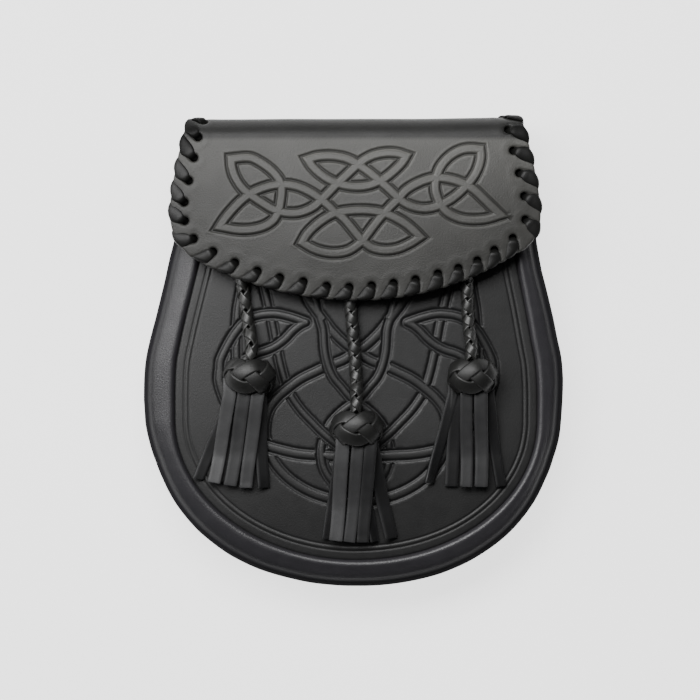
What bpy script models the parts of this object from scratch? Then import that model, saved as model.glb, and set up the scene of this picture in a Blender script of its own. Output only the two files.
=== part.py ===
"""Leather day sporran, lying on its back.

Metres, +Z up. +Y runs towards the fold of the flap and +Z out of the front. The origin is the middle of the
part's footprint, on the surface that it lies on. Sizes below are in millimetres and are scaled once, by MM.
"""

import bpy
import bmesh
from math import atan, ceil, cos, pi, radians, sin
from mathutils import Vector
from mathutils.geometry import delaunay_2d_cdt

MM = 0.001

# ---- Driving sizes, in millimetres -------------------------------------------------------------------------

WIDTH = 180.0                 # across the gusset
GAP = 0.3                     # between pieces that touch
GRID = (11.0, 10.0)           # between the inner points of a sheet of leather, across and along
FOLD_GRID = (16.0, 3.1)       # the same over the fold, which is bent along
SLIVER = 0.002                # twice the area of the smallest triangle that is kept
PANEL_THICKNESS = 2.5         # stiff leather of the back, the flap and the front panel
GUSSET_THICKNESS = 1.8        # soft leather of the side wall
STRIP_THICKNESS = 1.6         # tassel strips
CORD_DIAMETER = 5.6           # braided cord

WIDEST_HEIGHT = -30.3         # where the body is widest
LOWEST = -102.5               # lowest point of the body
MOUTH_TOP = 88.0              # where the gusset ends, under the fold
FRONT_TOP = 84.0              # upper edge of the front panel, under the flap
SEAM_INSET = 11.5             # width of the rolled rim, from the outside to the front panel
BACK_INSET = 5.0              # how far the back panel's edge stays inside the outline
ROUND_POWER_LEFT = 2.0        # roundness of the lower body: 2 is an ellipse
ROUND_POWER_RIGHT = 2.05

# The body's outline above its widest height: height, then half width on each side of the middle line.
SIDE_ROWS = (
    # height, left, right
    (-30.3, 90.0, 90.0),
    (-17.0, 90.0, 90.0),
    (-4.3, 89.4, 89.2),
    (5.6, 87.6, 87.4),
    (19.5, 84.4, 84.9),
    (47.0, 77.5, 79.6),
    (74.0, 70.5, 77.0),
    (100.0, 62.0, 67.0),
)

FRONT_RIM = 27.0              # middle of the front panel's thickness at its edge, above the surface
FRONT_DOME = 5.0              # how far the front panel bulges
BACK_DISH = 6.8               # how far the back is pressed in around the belt sleeve
DISH_FLAT = 0.61              # share of the half width over which the dish is flat
DISH_RIM = 0.76               # share of the half width where the flat rim begins
DISH_TOP = (88.0, 69.0)       # heights between which the dish fades out towards the fold

FOLD_HEIGHT = 92.4            # where the flap's face ends and the fold begins
FOLD_RADIUS = 8.0             # of the middle of the leather
FLAP_TOP = 35.0               # middle of the flap's thickness at the fold
FLAP_RISE = 7.0               # how much higher its free edge lies, on the cords
FLAP_LOWEST = 21.4            # lowest point of the flap's leather edge
FLAP_LOWEST_X = 2.0
FLAP_LOWER_RADIUS = (150.0, 125.0)  # of its lower edge, left and right of the lowest point
FLAP_DROOP = (2.0, 8.0)       # how much its sides hang, at the fold and at the free edge
DROOP_WIDTH = 80.0
DROOP_POWER = 2.6

# The flap's side edges, from the lower corner to the fold and over it: run is measured along the leather from
# the fold line, positive over the fold, and x from the middle line.
FLAP_LEFT_ROWS = (
    # x, run
    (-70.6, -51.9),
    (-75.8, -46.5),
    (-78.6, -40.0),
    (-79.5, -31.0),
    (-77.5, -16.0),
    (-74.0, 0.0),
    (-70.5, 12.0),
    (-66.5, 24.0),
    (-62.5, 36.0),
    (-59.8, 44.0),
)
FLAP_RIGHT_ROWS = (
    # x, run
    (73.6, -48.6),
    (77.2, -45.2),
    (79.8, -40.0),
    (80.5, -31.0),
    (78.4, -16.0),
    (74.8, 0.0),
    (71.5, 12.0),
    (68.5, 24.0),
    (66.0, 36.0),
    (64.4, 44.0),
)

FLAP_LOWER_STEPS = 22

HOLE_INSET = 5.4              # from the leather's edge to the middle of a lacing hole
HOLE_DIAMETER = 4.2
HOLE_SIDES = 6
FLAP_HOLES = 26               # round the flap
FOLD_HOLES = 2                # more on each side, over the fold
FIRST_HOLE_RUN = -1.8         # along the leather, measured like run above
LACE_WIDTH = 4.0
LACE_ON_EDGE = 4.6            # along the edge, where it turns over it
LACE_IN_HOLE = 2.3
LACE_THICKNESS = 0.9
LACE_FLARE = 0.4              # how much wider it is just outside a hole
LACE_TAIL = 0.5               # how far its last end stands out of the last hole
LACE_SLACK = 0.3              # how much looser it lies behind than in front
LACE_LEAN = 3.4               # how far a stitch leans along the edge before it turns over it

SLOT_LENGTH = 15.0            # the slots in the front panel that the tassel cords come out of
SLOT_WIDTH = 7.0
SLOT_SIDES = 10
SLOT_MIDDLE = 0.5             # share of the way from a cord's first point to its third
CORD_NECK = (6.5, 1.4)        # a cord's last bend: how far before its knot, and above the middle way
CORD_STEPS = 3                # pieces of a cord between two points of its route
CORD_RISE = (-7.5, -1.4, 2.6)  # of its first three points above the front panel's face

SLEEVE_LENGTH = 72.0
SLEEVE_HEIGHT = 46.0
SLEEVE_TUNNEL = 33.0
SLEEVE_CLEAR = 4.5
SLEEVE_THICKNESS = 1.7
SLEEVE_Y = 38.0
SLEEVE_CORNER = 1.2

# Tassels: where each knot's middle lies, which way it points, its cord's way from the slot in the front
# panel, and its strips. Strips start side by side under the knot and end at the tips; all are offsets from
# the knot's middle, x to the right and y up.
KNOT_WIDTH = 21.6
KNOT_DEPTH = 15.0
KNOT_ROWS = (
    # along the cord, radius
    (7.4, 0.0),
    (7.4, 3.2),
    (6.4, 6.4),
    (3.6, 9.6),
    (0.2, 10.8),
    (-3.2, 10.2),
    (-5.8, 8.8),
    (-6.6, 7.4),
    (-6.6, 0.0),
)
KNOT_SIDES = 14

FRINGE_TOP = -1.0             # inside the knot, from its middle
FRINGE_FORK = -7.6            # where the strips part
FRINGE_SLIT = 0.12            # between two strips where they part
FRINGE_STEPS = 5
FRINGE_SETTLE = 30.0          # over what length the strips come down to rest
FRINGE_SLANT = 2.0            # how much a leaning strip's end is cut askew
# Heights of the two layers of strips: at the tips, above the front panel, and at the top, from the knot's
# middle.
FRONT_LAYER = (2.3, 1.8)
REAR_LAYER = (0.0, -2.6)

TASSELS = (
    {
        "name": "left",
        "knot": (-45.2, -11.3),
        "turn": -4.0,
        "route": ((-51.6, 44.5), (-50.6, 39.5), (-49.6, 34.0), (-47.8, 25.0), (-45.9, 12.0), (-44.6, 1.0)),
        "front_strips": (
            # start x, tip x, tip y, width
            (-8.4, -15.3, -45.8, 5.9),
            (-2.2, -8.1, -47.0, 5.9),
            (3.7, -1.3, -48.0, 5.9),
        ),
        "rear_strips": (
            (-7.3, -22.1, -44.2, 5.0),
            (-1.3, -11.7, -45.5, 5.9),
            (4.7, 5.9, -48.0, 5.6),
        ),
    },
    {
        "name": "centre",
        "knot": (1.3, -33.8),
        "turn": 1.0,
        "route": ((-3.4, 43.5), (-3.2, 38.5), (-2.8, 33.0), (-1.4, 18.0), (0.0, 3.0), (0.9, -11.0),
                  (1.2, -23.0)),
        "front_strips": (
            (-6.2, -9.2, -48.4, 6.2),
            (0.4, -3.1, -48.9, 5.4),
            (5.9, 2.7, -49.1, 5.4),
        ),
        "rear_strips": (
            (-7.0, -13.0, -47.6, 4.6),
            (1.0, 7.2, -48.8, 4.4),
            (6.6, 14.6, -47.4, 5.8),
        ),
    },
    {
        "name": "right",
        "knot": (51.1, -11.3),
        "turn": 2.0,
        "route": ((48.5, 44.5), (48.6, 39.5), (48.7, 34.0), (49.0, 24.0), (49.6, 12.0), (50.6, 1.0)),
        "front_strips": (
            (-2.6, -2.7, -47.6, 5.5),
            (3.6, 4.0, -47.6, 5.9),
        ),
        "rear_strips": (
            (-8.2, -18.6, -46.0, 4.8),
            (-6.6, -9.2, -47.4, 5.8),
            (7.2, 12.2, -47.4, 4.6),
        ),
    },
)

LEATHERS = {
    # colour, roughness
    "flap_leather": ((0.040, 0.040, 0.038), 0.42),
    "body_leather": ((0.030, 0.030, 0.031), 0.45),
    "gusset_leather": ((0.026, 0.026, 0.029), 0.36),
    "lace_leather": ((0.022, 0.022, 0.021), 0.35),
    "braid_leather": ((0.028, 0.028, 0.027), 0.30),
    "strip_leather": ((0.030, 0.030, 0.031), 0.40),
}


# ---- Small helpers -----------------------------------------------------------------------------------------

def smooth(t):
    """0 below 0, 1 above 1, and a soft step between."""
    t = max(0.0, min(1.0, t))
    return t * t * (3 - 2 * t)


def read_rows(rows, column, at):
    """A smooth curve through one column of a table, read at a value of its first column."""
    at = max(rows[0][0], min(rows[-1][0], at))
    last = len(rows) - 1
    k = next(i for i in range(last) if at <= rows[i + 1][0])

    def slope(i):
        low, high = max(0, i - 1), min(last, i + 1)
        return (rows[high][column] - rows[low][column]) / (rows[high][0] - rows[low][0])

    step = rows[k + 1][0] - rows[k][0]
    t = (at - rows[k][0]) / step
    start, end = rows[k][column], rows[k + 1][column]
    bend_in, bend_out = slope(k) * step, slope(k + 1) * step
    return ((2 * t**3 - 3 * t**2 + 1) * start + (t**3 - 2 * t**2 + t) * bend_in
            + (3 * t**2 - 2 * t**3) * end + (t**3 - t**2) * bend_out)


def smooth_path(points, steps):
    """Points along a Catmull-Rom curve through points, with steps pieces between neighbours."""
    points = [Vector(p) for p in points]
    ends = [2 * points[0] - points[1]] + points + [2 * points[-1] - points[-2]]
    path = []
    for a, b, c, d in zip(ends, ends[1:], ends[2:], ends[3:]):
        for k in range(steps):
            t = k / steps
            path.append(0.5 * ((2 * b) + (c - a) * t + (2 * a - 5 * b + 4 * c - d) * t**2
                               + (3 * b - a - 3 * c + d) * t**3))
    return path + [points[-1]]


def lengths_along(path):
    """How far along a path each of its points is."""
    run = [0.0]
    for a, b in zip(path, path[1:]):
        run.append(run[-1] + (Vector(b) - Vector(a)).length)
    return run


def at_length(path, run, at):
    """The point of a path at a length along it, and the direction there."""
    k = max(i for i in range(len(path) - 1) if run[i] <= at or i == 0)
    a, b = Vector(path[k]), Vector(path[k + 1])
    t = (at - run[k]) / (run[k + 1] - run[k])
    return a.lerp(b, t), (b - a).normalized()


def inset_path(path, inset):
    """A flat path moved to its left by inset."""
    moved = []
    for i, p in enumerate(path):
        along = Vector(path[min(i + 1, len(path) - 1)]) - Vector(path[max(i - 1, 0)])
        along.normalize()
        moved.append(Vector((p[0] - along.y * inset, p[1] + along.x * inset)))
    return moved


def leather(name):
    """A Principled material for one of the leathers."""
    found = bpy.data.materials.get(name)
    if found:
        return found
    colour, roughness = LEATHERS[name]
    material = bpy.data.materials.new(name)
    material.use_nodes = True
    shader = material.node_tree.nodes["Principled BSDF"]
    shader.inputs["Base Color"].default_value = (*colour, 1)
    shader.inputs["Roughness"].default_value = roughness
    shader.inputs["Metallic"].default_value = 0.0
    material.diffuse_color = (*colour, 1)
    return material


def new_piece(name, vertices, faces, finish, place=(0, 0, 0), turn=0.0):
    """An object from vertices in millimetres, with smooth shading, held by the sporran's empty."""
    mesh = bpy.data.meshes.new(name)
    mesh.from_pydata([tuple(c * MM for c in v) for v in vertices], [], faces)
    mesh.validate()
    mesh.shade_smooth()
    mesh.set_sharp_from_angle(angle=radians(50))
    mesh.materials.append(leather(finish))
    piece = bpy.data.objects.new(name, mesh)
    piece.location = [c * MM for c in place]
    piece.rotation_euler = (0, 0, turn)
    bpy.context.scene.collection.objects.link(piece)
    piece.parent = bpy.data.objects["sporran"]
    return piece


def as_tool(piece):
    """Hides a cutter or a shape that is fused into another."""
    piece.hide_render = True
    piece.display_type = "WIRE"
    return piece


def combine(piece, tool, operation):
    """A live Boolean of piece and tool."""
    modifier = piece.modifiers.new(f"{operation.lower()}_{tool.name}", "BOOLEAN")
    modifier.operation = operation
    modifier.object = as_tool(tool)


# ---- The shapes that the leather takes ---------------------------------------------------------------------

def half_width(side, height):
    """Half the body's width at a height; side is -1 on the left and 1 on the right."""
    if height >= WIDEST_HEIGHT:
        return read_rows(SIDE_ROWS, 1 if side < 0 else 2, height)
    power = ROUND_POWER_LEFT if side < 0 else ROUND_POWER_RIGHT
    drop = min(1.0, (WIDEST_HEIGHT - height) / (WIDEST_HEIGHT - LOWEST))
    return WIDTH / 2 * (1 - drop**power) ** (1 / power)


def body_outline(top, rows, arcs):
    """The body's outline from its top left, down, round the bottom and up to its top right."""
    heights = [top + (WIDEST_HEIGHT - top) * k / rows for k in range(rows)]
    left = [Vector((-half_width(-1, h), h)) for h in heights]
    right = [Vector((half_width(1, h), h)) for h in reversed(heights)]
    around = []
    for k in range(arcs + 1):
        angle = pi * k / arcs
        power = ROUND_POWER_LEFT if angle < pi / 2 else ROUND_POWER_RIGHT
        across, down = cos(angle), sin(angle)
        sign = -1 if across > 0 else 1
        around.append(Vector((
            sign * WIDTH / 2 * abs(across) ** (2 / power),
            WIDEST_HEIGHT - (WIDEST_HEIGHT - LOWEST) * abs(down) ** (2 / power),
        )))
    return left + around + right


def reach(x, y, inset):
    """0 on the middle line of the body and 1 at an inset from its outline, below and to the sides."""
    side = -1 if x < 0 else 1
    if y >= WIDEST_HEIGHT:
        return abs(x) / (half_width(side, y) - inset)
    power = ROUND_POWER_LEFT if x < 0 else ROUND_POWER_RIGHT
    across = abs(x) / (WIDTH / 2 - inset)
    down = (WIDEST_HEIGHT - y) / (WIDEST_HEIGHT - LOWEST - inset)
    return (across**power + down**power) ** (1 / power)


def front_height(x, y):
    """Middle of the front panel's thickness."""
    return FRONT_RIM + FRONT_DOME * max(0.0, 1 - reach(x, y, SEAM_INSET) ** 2)


def front_face(x, y):
    """The front panel's outer face."""
    return front_height(x, y) + PANEL_THICKNESS / 2


def back_height(x, y):
    """Middle of the back panel's thickness: a flat rim and a dish for the belt sleeve."""
    inward = smooth((DISH_RIM - reach(x, y, BACK_INSET)) / (DISH_RIM - DISH_FLAT))
    below_fold = smooth((DISH_TOP[0] - y) / (DISH_TOP[0] - DISH_TOP[1]))
    return PANEL_THICKNESS / 2 + BACK_DISH * inward * below_fold


def flap_height(x, y):
    """Middle of the flap's thickness: it rises towards its free edge and its sides hang."""
    t = (FOLD_HEIGHT - y) / (FOLD_HEIGHT - FLAP_LOWEST)
    droop = FLAP_DROOP[0] + (FLAP_DROOP[1] - FLAP_DROOP[0]) * t
    return FLAP_TOP + FLAP_RISE * sin(pi / 2 * t) - droop * abs(x / DROOP_WIDTH) ** DROOP_POWER


def over_the_fold(x, run):
    """The middle of the leather's thickness at a run along it, measured from the fold line."""
    if run <= 0:
        y = FOLD_HEIGHT + run
        return Vector((x, y, flap_height(x, y)))
    small = 0.01
    tilt = atan((flap_height(x, FOLD_HEIGHT - small) - flap_height(x, FOLD_HEIGHT)) / small)
    start = flap_height(x, FOLD_HEIGHT)
    bend = FOLD_RADIUS * (pi / 2 - tilt)
    top_y = FOLD_HEIGHT + FOLD_RADIUS * (1 - sin(tilt))
    top_from = start - FOLD_RADIUS * cos(tilt)
    top_to = FOLD_RADIUS + PANEL_THICKNESS / 2
    if run <= bend:
        angle = tilt + run / FOLD_RADIUS
        return Vector((x, FOLD_HEIGHT + FOLD_RADIUS * (sin(angle) - sin(tilt)),
                       start - FOLD_RADIUS * (cos(tilt) - cos(angle))))
    run -= bend
    if run <= top_from - top_to:
        return Vector((x, top_y, top_from - run))
    run -= top_from - top_to
    if run <= FOLD_RADIUS * pi / 2:
        angle = run / FOLD_RADIUS
        return Vector((x, top_y - FOLD_RADIUS * (1 - cos(angle)), top_to - FOLD_RADIUS * sin(angle)))
    y = top_y - FOLD_RADIUS - (run - FOLD_RADIUS * pi / 2)
    return Vector((x, y, back_height(x, y)))


def facing(surface, u, v):
    """The direction that a surface faces at (u, v)."""
    small = 0.05
    across = surface(u + small, v) - surface(u - small, v)
    along = surface(u, v + small) - surface(u, v - small)
    return across.cross(along).normalized()


# ---- Cut leather -------------------------------------------------------------------------------------------

def inside(point, loop):
    """Is a flat point inside a loop?"""
    x, y = point
    crossings = 0
    for (ax, ay), (bx, by) in zip(loop, loop[1:] + loop[:1]):
        if (ay > y) != (by > y) and x < ax + (y - ay) * (bx - ax) / (by - ay):
            crossings += 1
    return crossings % 2 == 1


def distance_to(point, loop):
    """How far a flat point is from a loop."""
    nearest = 1e9
    for a, b in zip(loop, loop[1:] + loop[:1]):
        a, b, p = Vector(a), Vector(b), Vector(point)
        t = max(0.0, min(1.0, (p - a).dot(b - a) / max((b - a).length_squared, 1e-12)))
        nearest = min(nearest, (p - a.lerp(b, t)).length)
    return nearest


def cut_and_shape(name, outline, holes, inner, surface, thickness, finish, place=(0, 0, 0)):
    """Cuts a flat piece of leather with holes and lays it on a surface, as one closed solid.

    inner holds the flat points inside the outline that let the leather bend.
    """
    loops = [[tuple(p) for p in loop] for loop in [outline, *holes]]
    points = [p for loop in loops for p in loop]
    edges = []
    start = 0
    for loop in loops:
        edges += [(start + k, start + (k + 1) % len(loop)) for k in range(len(loop))]
        start += len(loop)
    points += [p for p in inner if inside(p, loops[0])
               and all(distance_to(p, loop) > 1.6 for loop in loops)]
    flat, _, triangles, *_ = delaunay_2d_cdt([Vector(p) for p in points], edges, [], 0, 1e-5)
    kept = []
    for a, b, c in triangles:
        if abs((flat[b] - flat[a]).cross(flat[c] - flat[a])) < SLIVER:
            continue
        middle = (flat[a] + flat[b] + flat[c]) / 3
        if not inside(middle, loops[0]) or any(inside(middle, hole) for hole in loops[1:]):
            continue
        turned = (flat[b] - flat[a]).cross(flat[c] - flat[a]) < 0
        kept.append((a, c, b) if turned else (a, b, c))

    shaped = [surface(p.x, p.y) for p in flat]
    out = [facing(surface, p.x, p.y) for p in flat]
    used = sorted({i for face in kept for i in face})
    number = {old: new for new, old in enumerate(used)}
    count = len(used)
    vertices = [shaped[i] + out[i] * thickness / 2 for i in used]
    vertices += [shaped[i] - out[i] * thickness / 2 for i in used]
    faces, sides = [], set()
    for face in kept:
        a, b, c = (number[i] for i in face)
        faces += [(a, b, c), (c + count, b + count, a + count)]
        sides |= {(a, b), (b, c), (c, a)}
    for a, b in sorted(sides):
        if (b, a) not in sides:
            faces.append((b, a, a + count, b + count))
    vertices = [v - Vector(place) for v in vertices]
    return new_piece(name, vertices, faces, finish, place)


def grid(low, high, steps):
    """Flat points in rows, every other row moved by half a step."""
    columns = ceil((high[0] - low[0]) / steps[0])
    rows = ceil((high[1] - low[1]) / steps[1])
    return [(low[0] + (c + (r % 2) / 2) * (high[0] - low[0]) / columns,
             low[1] + r * (high[1] - low[1]) / rows)
            for r in range(rows + 1) for c in range(columns + 1)]


def ring(middle, radius, sides):
    """A flat round loop."""
    return [(middle[0] + radius * cos(2 * pi * k / sides), middle[1] + radius * sin(2 * pi * k / sides))
            for k in range(sides)]


def slot(start, end):
    """A flat loop with round ends, about the part of a cord's way where it comes through the front panel."""
    start, end = Vector(start), Vector(end)
    middle, along = start.lerp(end, SLOT_MIDDLE), (end - start).normalized()
    across = Vector((-along.y, along.x))
    straight = (SLOT_LENGTH - SLOT_WIDTH) / 2
    loop = []
    for k in range(SLOT_SIDES):
        angle = 2 * pi * (k + 0.5) / SLOT_SIDES
        ahead = cos(angle) * SLOT_WIDTH / 2 + (straight if cos(angle) > 0 else -straight)
        loop.append(middle + along * ahead + across * sin(angle) * SLOT_WIDTH / 2)
    return loop


# ---- Back and flap -----------------------------------------------------------------------------------------

def flap_arc():
    """The flap's lower edge, from left to right, as points (x, run)."""
    low, high = FLAP_LEFT_ROWS[0][0], FLAP_RIGHT_ROWS[0][0]
    points = []
    for k in range(1, FLAP_LOWER_STEPS):
        x = low + (high - low) * k / FLAP_LOWER_STEPS
        radius = FLAP_LOWER_RADIUS[0 if x < FLAP_LOWEST_X else 1]
        rise = radius - (radius**2 - (x - FLAP_LOWEST_X) ** 2) ** 0.5
        points.append(Vector((x, FLAP_LOWEST + rise - FOLD_HEIGHT)))
    return points


def flap_edge(steps=4):
    """The laced edge: over the fold on the left, round the flap and back over the fold on the right."""
    left = smooth_path(list(reversed(FLAP_LEFT_ROWS)), steps)
    right = smooth_path(FLAP_RIGHT_ROWS, steps)
    return left + flap_arc() + right


def back_edge():
    """The back panel's edge from its top right, round the bottom, to its top left, as points (x, run)."""
    outline = inset_path(body_outline(FOLD_HEIGHT - 10, 7, 26), BACK_INSET)
    return [Vector((p.x, run_at_back(p.y))) for p in reversed(outline)]


def run_at_back(y):
    """The run along the leather at a height of the back panel, on the middle line."""
    far = FLAP_LEFT_ROWS[-1][1] + 20
    return far + over_the_fold(0, far).y - y


def hole_middles():
    """The lacing holes in order along the edge: where each is, flat, and the edge's direction there."""
    edge = flap_edge(6)
    run = lengths_along(edge)
    first = min(range(len(edge)), key=lambda k: (edge[k].x > 0, abs(edge[k].y - FIRST_HOLE_RUN)))
    last = min(range(len(edge)), key=lambda k: (edge[k].x < 0, abs(edge[k].y - FIRST_HOLE_RUN)))
    pitch = (run[last] - run[first]) / (FLAP_HOLES - 1)
    places = []
    for k in range(-FOLD_HOLES, FLAP_HOLES + FOLD_HOLES):
        point, along = at_length(edge, run, run[first] + k * pitch)
        inward = Vector((-along.y, along.x))
        places.append((point + inward * HOLE_INSET, along, inward))
    return places


def make_back_and_flap():
    outline = flap_edge() + back_edge()
    holes = [ring(middle, HOLE_DIAMETER / 2, HOLE_SIDES) for middle, _, _ in hole_middles()]
    back_from = run_at_back(FOLD_HEIGHT - 2)
    side, lowest = WIDTH / 2 - BACK_INSET, run_at_back(LOWEST + BACK_INSET)
    inner = grid((-side, FLAP_LOWEST - FOLD_HEIGHT), (side, -GRID[1] / 2), GRID)
    inner += grid((-side, 0), (side, back_from), FOLD_GRID)
    inner += grid((-side, back_from + GRID[1] / 2), (side, lowest), GRID)
    cut_and_shape("back_and_flap", outline, holes, inner, over_the_fold, PANEL_THICKNESS, "flap_leather")


# ---- Lacing ------------------------------------------------------------------------------------------------

def lace_path():
    """Stations of the lace in order: flat place, height above the middle of the leather, and flat width.

    The lace comes up through a hole, leans along the edge, turns over it and goes behind to the next hole.
    """
    face = PANEL_THICKNESS / 2 + GAP + LACE_THICKNESS / 2
    behind = face + LACE_SLACK
    outside = GAP + LACE_THICKNESS / 2
    stations = []
    places = hole_middles()
    places.reverse()
    for (middle, along, inward), (following, next_along, next_inward) in zip(places, places[1:]):
        lean = -along * LACE_LEAN
        edge = middle - inward * (HOLE_INSET + outside) + lean
        crosswise = square_to(edge - middle, along)
        stations += [
            (middle, 0.0, along * LACE_IN_HOLE),
            (middle.lerp(edge, 0.14), face, crosswise * (LACE_IN_HOLE + LACE_FLARE)),
            (middle.lerp(edge, 0.45), face, crosswise * LACE_WIDTH),
            (edge + inward * 0.1, face - 0.15, along * LACE_ON_EDGE),
            (edge + lean * 0.1, 0.0, along * LACE_ON_EDGE),
            (edge + lean * 0.2 + inward * 0.1, -behind, along * LACE_ON_EDGE),
        ]
        below = (edge - following).normalized()
        stations.append((following + below, -behind, square_to(below, along) * (LACE_IN_HOLE + LACE_FLARE)))
    middle, along, inward = places[-1]
    stations.append((middle, 0.0, along * LACE_IN_HOLE))
    stations.append((middle, face + LACE_TAIL, along * LACE_IN_HOLE))
    return stations


def square_to(run, along):
    """The flat direction square to run, on the side of along."""
    square = Vector((-run.y, run.x)).normalized()
    return square if square.dot(along) > 0 else -square


def make_flap_lacing():
    """A flat strand swept along the stations."""
    stations = lace_path()
    small = 0.1
    middles, widths = [], []
    for place, height, width in stations:
        up = facing(over_the_fold, *place)
        on_leather = over_the_fold(*place)
        middles.append(on_leather + up * height)
        reached = over_the_fold(*(place + width.normalized() * small))
        widths.append((reached - on_leather).normalized() * width.length)
    vertices, faces = [], []
    last = len(stations) - 1
    for k, (middle, wide) in enumerate(zip(middles, widths)):
        along = (middles[min(k + 1, last)] - middles[max(k - 1, 0)]).normalized()
        thick = along.cross(wide).normalized() * LACE_THICKNESS
        for side, rise in ((-0.5, -0.5), (0.5, -0.5), (0.5, 0.5), (-0.5, 0.5)):
            vertices.append(middle + wide * side + thick * rise)
        if k:
            start, end = 4 * (k - 1), 4 * k
            faces += [(start + j, start + (j + 1) % 4, end + (j + 1) % 4, end + j) for j in range(4)]
    faces += [(3, 2, 1, 0), tuple(4 * last + j for j in range(4))]
    face_outwards(new_piece("flap_lacing", vertices, faces, "lace_leather"))


def face_outwards(piece):
    """Turns a closed piece's faces outwards."""
    shape = bmesh.new()
    shape.from_mesh(piece.data)
    bmesh.ops.recalc_face_normals(shape, faces=shape.faces)
    shape.to_mesh(piece.data)
    shape.free()


# ---- Gusset ------------------------------------------------------------------------------------------------

# The middle of the gusset's thickness, from the flange under the front panel, over the roll and down to the
# flange on the back panel: out is measured from the body's outline, height from the surface below.
GUSSET_ROWS = (
    # out, height
    (-19.0, 24.4),
    (-11.4, 24.4),
    (-10.2, 25.4),
    (-9.2, 27.2),
    (-7.0, 28.8),
    (-4.0, 27.6),
    (-1.7, 23.2),
    (-0.9, 16.0),
    (-1.5, 9.6),
    (-4.4, 4.9),
    (-9.0, 3.75),
    (-15.0, 3.75),
)


def make_gusset():
    outline = body_outline(MOUTH_TOP, 10, 32)
    section = [Vector(row) for row in GUSSET_ROWS]
    count = len(section)
    vertices, faces = [], []
    for i, place in enumerate(outline):
        along = (outline[min(i + 1, len(outline) - 1)] - outline[max(i - 1, 0)]).normalized()
        outward = Vector((along.y, -along.x))
        for side in (1, -1):
            for j, point in enumerate(section):
                run = (section[min(j + 1, count - 1)] - section[max(j - 1, 0)]).normalized()
                out = point.x - run.y * side * GUSSET_THICKNESS / 2
                height = point.y + run.x * side * GUSSET_THICKNESS / 2
                vertices.append((place.x + outward.x * out, place.y + outward.y * out, height))
    loop = list(range(count)) + list(range(2 * count - 1, count - 1, -1))
    total = 2 * count
    for i in range(len(outline) - 1):
        for a, b in zip(loop, loop[1:] + loop[:1]):
            faces.append((total * i + a, total * i + b, total * (i + 1) + b, total * (i + 1) + a))
    for i in (0, len(outline) - 1):
        for j in range(count - 1):
            cap = tuple(total * i + k for k in (j, count + j, count + j + 1, j + 1))
            faces.append(cap if i == 0 else cap[::-1])
    face_outwards(new_piece("gusset", vertices, faces, "gusset_leather"))


# ---- Front panel -------------------------------------------------------------------------------------------

def on_the_front(x, y):
    return Vector((x, y, front_height(x, y)))


def make_front_panel():
    outline = inset_path(body_outline(FRONT_TOP, 8, 28), SEAM_INSET)
    slots = [slot(tassel["route"][0], tassel["route"][2]) for tassel in TASSELS]
    side = WIDTH / 2 - SEAM_INSET
    inner = grid((-side, LOWEST + SEAM_INSET), (side, FRONT_TOP), GRID)
    cut_and_shape("front_panel", outline, slots, inner, on_the_front, PANEL_THICKNESS, "body_leather")


# ---- Tassels and their cords -------------------------------------------------------------------------------

def knot_middle(tassel):
    x, y = tassel["knot"]
    return Vector((x, y, front_face(x, y) + GAP + KNOT_DEPTH / 2))


def cord_route(tassel):
    """From inside the pouch, up through the hole, along the front panel and up to the knot."""
    rest = GAP + CORD_DIAMETER / 2
    points = []
    for number, (x, y) in enumerate(tassel["route"]):
        rise = CORD_RISE[number] if number < len(CORD_RISE) else rest
        points.append(Vector((x, y, front_face(x, y) + rise)))
    knot = knot_middle(tassel)
    turn = radians(tassel["turn"])
    away = Vector((-sin(turn), cos(turn), 0))
    before = knot + away * (KNOT_ROWS[0][0] + CORD_NECK[0])
    before.z = (knot.z + points[-1].z) / 2 + CORD_NECK[1]
    points[-1] = before
    points.append(knot + away * (KNOT_ROWS[0][0] + GAP))
    return points


def make_cord(tassel):
    """A round cord along its route: a poly curve with a bevel and filled ends."""
    name = f"tassel_cord_{tassel['name']}"
    path = smooth_path(cord_route(tassel), CORD_STEPS)
    curve = bpy.data.curves.new(name, "CURVE")
    curve.dimensions = "3D"
    curve.bevel_depth = CORD_DIAMETER / 2 * MM
    curve.bevel_resolution = 2
    curve.use_fill_caps = True
    spline = curve.splines.new("POLY")
    spline.points.add(len(path) - 1)
    for point, place in zip(spline.points, path):
        point.co = (*(c * MM for c in place), 1)
    curve.materials.append(leather("braid_leather"))
    piece = bpy.data.objects.new(name, curve)
    bpy.context.scene.collection.objects.link(piece)
    piece.parent = bpy.data.objects["sporran"]


def make_knot(name, middle, turn):
    """The knot's outer form: a turned dome, flattened where it lies, its axis along the cord."""
    vertices, faces = [(0, KNOT_ROWS[0][0], 0)], []
    flat = KNOT_DEPTH / KNOT_WIDTH
    for along, radius in KNOT_ROWS[1:-1]:
        angles = [2 * pi * k / KNOT_SIDES for k in range(KNOT_SIDES)]
        vertices += [(radius * cos(angle), along, -radius * flat * sin(angle)) for angle in angles]
    vertices.append((0, KNOT_ROWS[-1][0], 0))
    end = len(vertices) - 1
    rings = len(KNOT_ROWS) - 2
    for k in range(KNOT_SIDES):
        following = (k + 1) % KNOT_SIDES
        faces.append((0, 1 + following, 1 + k))
        for r in range(rings - 1):
            a, b = 1 + r * KNOT_SIDES, 1 + (r + 1) * KNOT_SIDES
            faces.append((a + k, a + following, b + following, b + k))
        faces.append((end, end - KNOT_SIDES + k, end - KNOT_SIDES + following))
    piece = new_piece(name, vertices, faces, "strip_leather", middle, turn)
    face_outwards(piece)
    return piece


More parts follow.
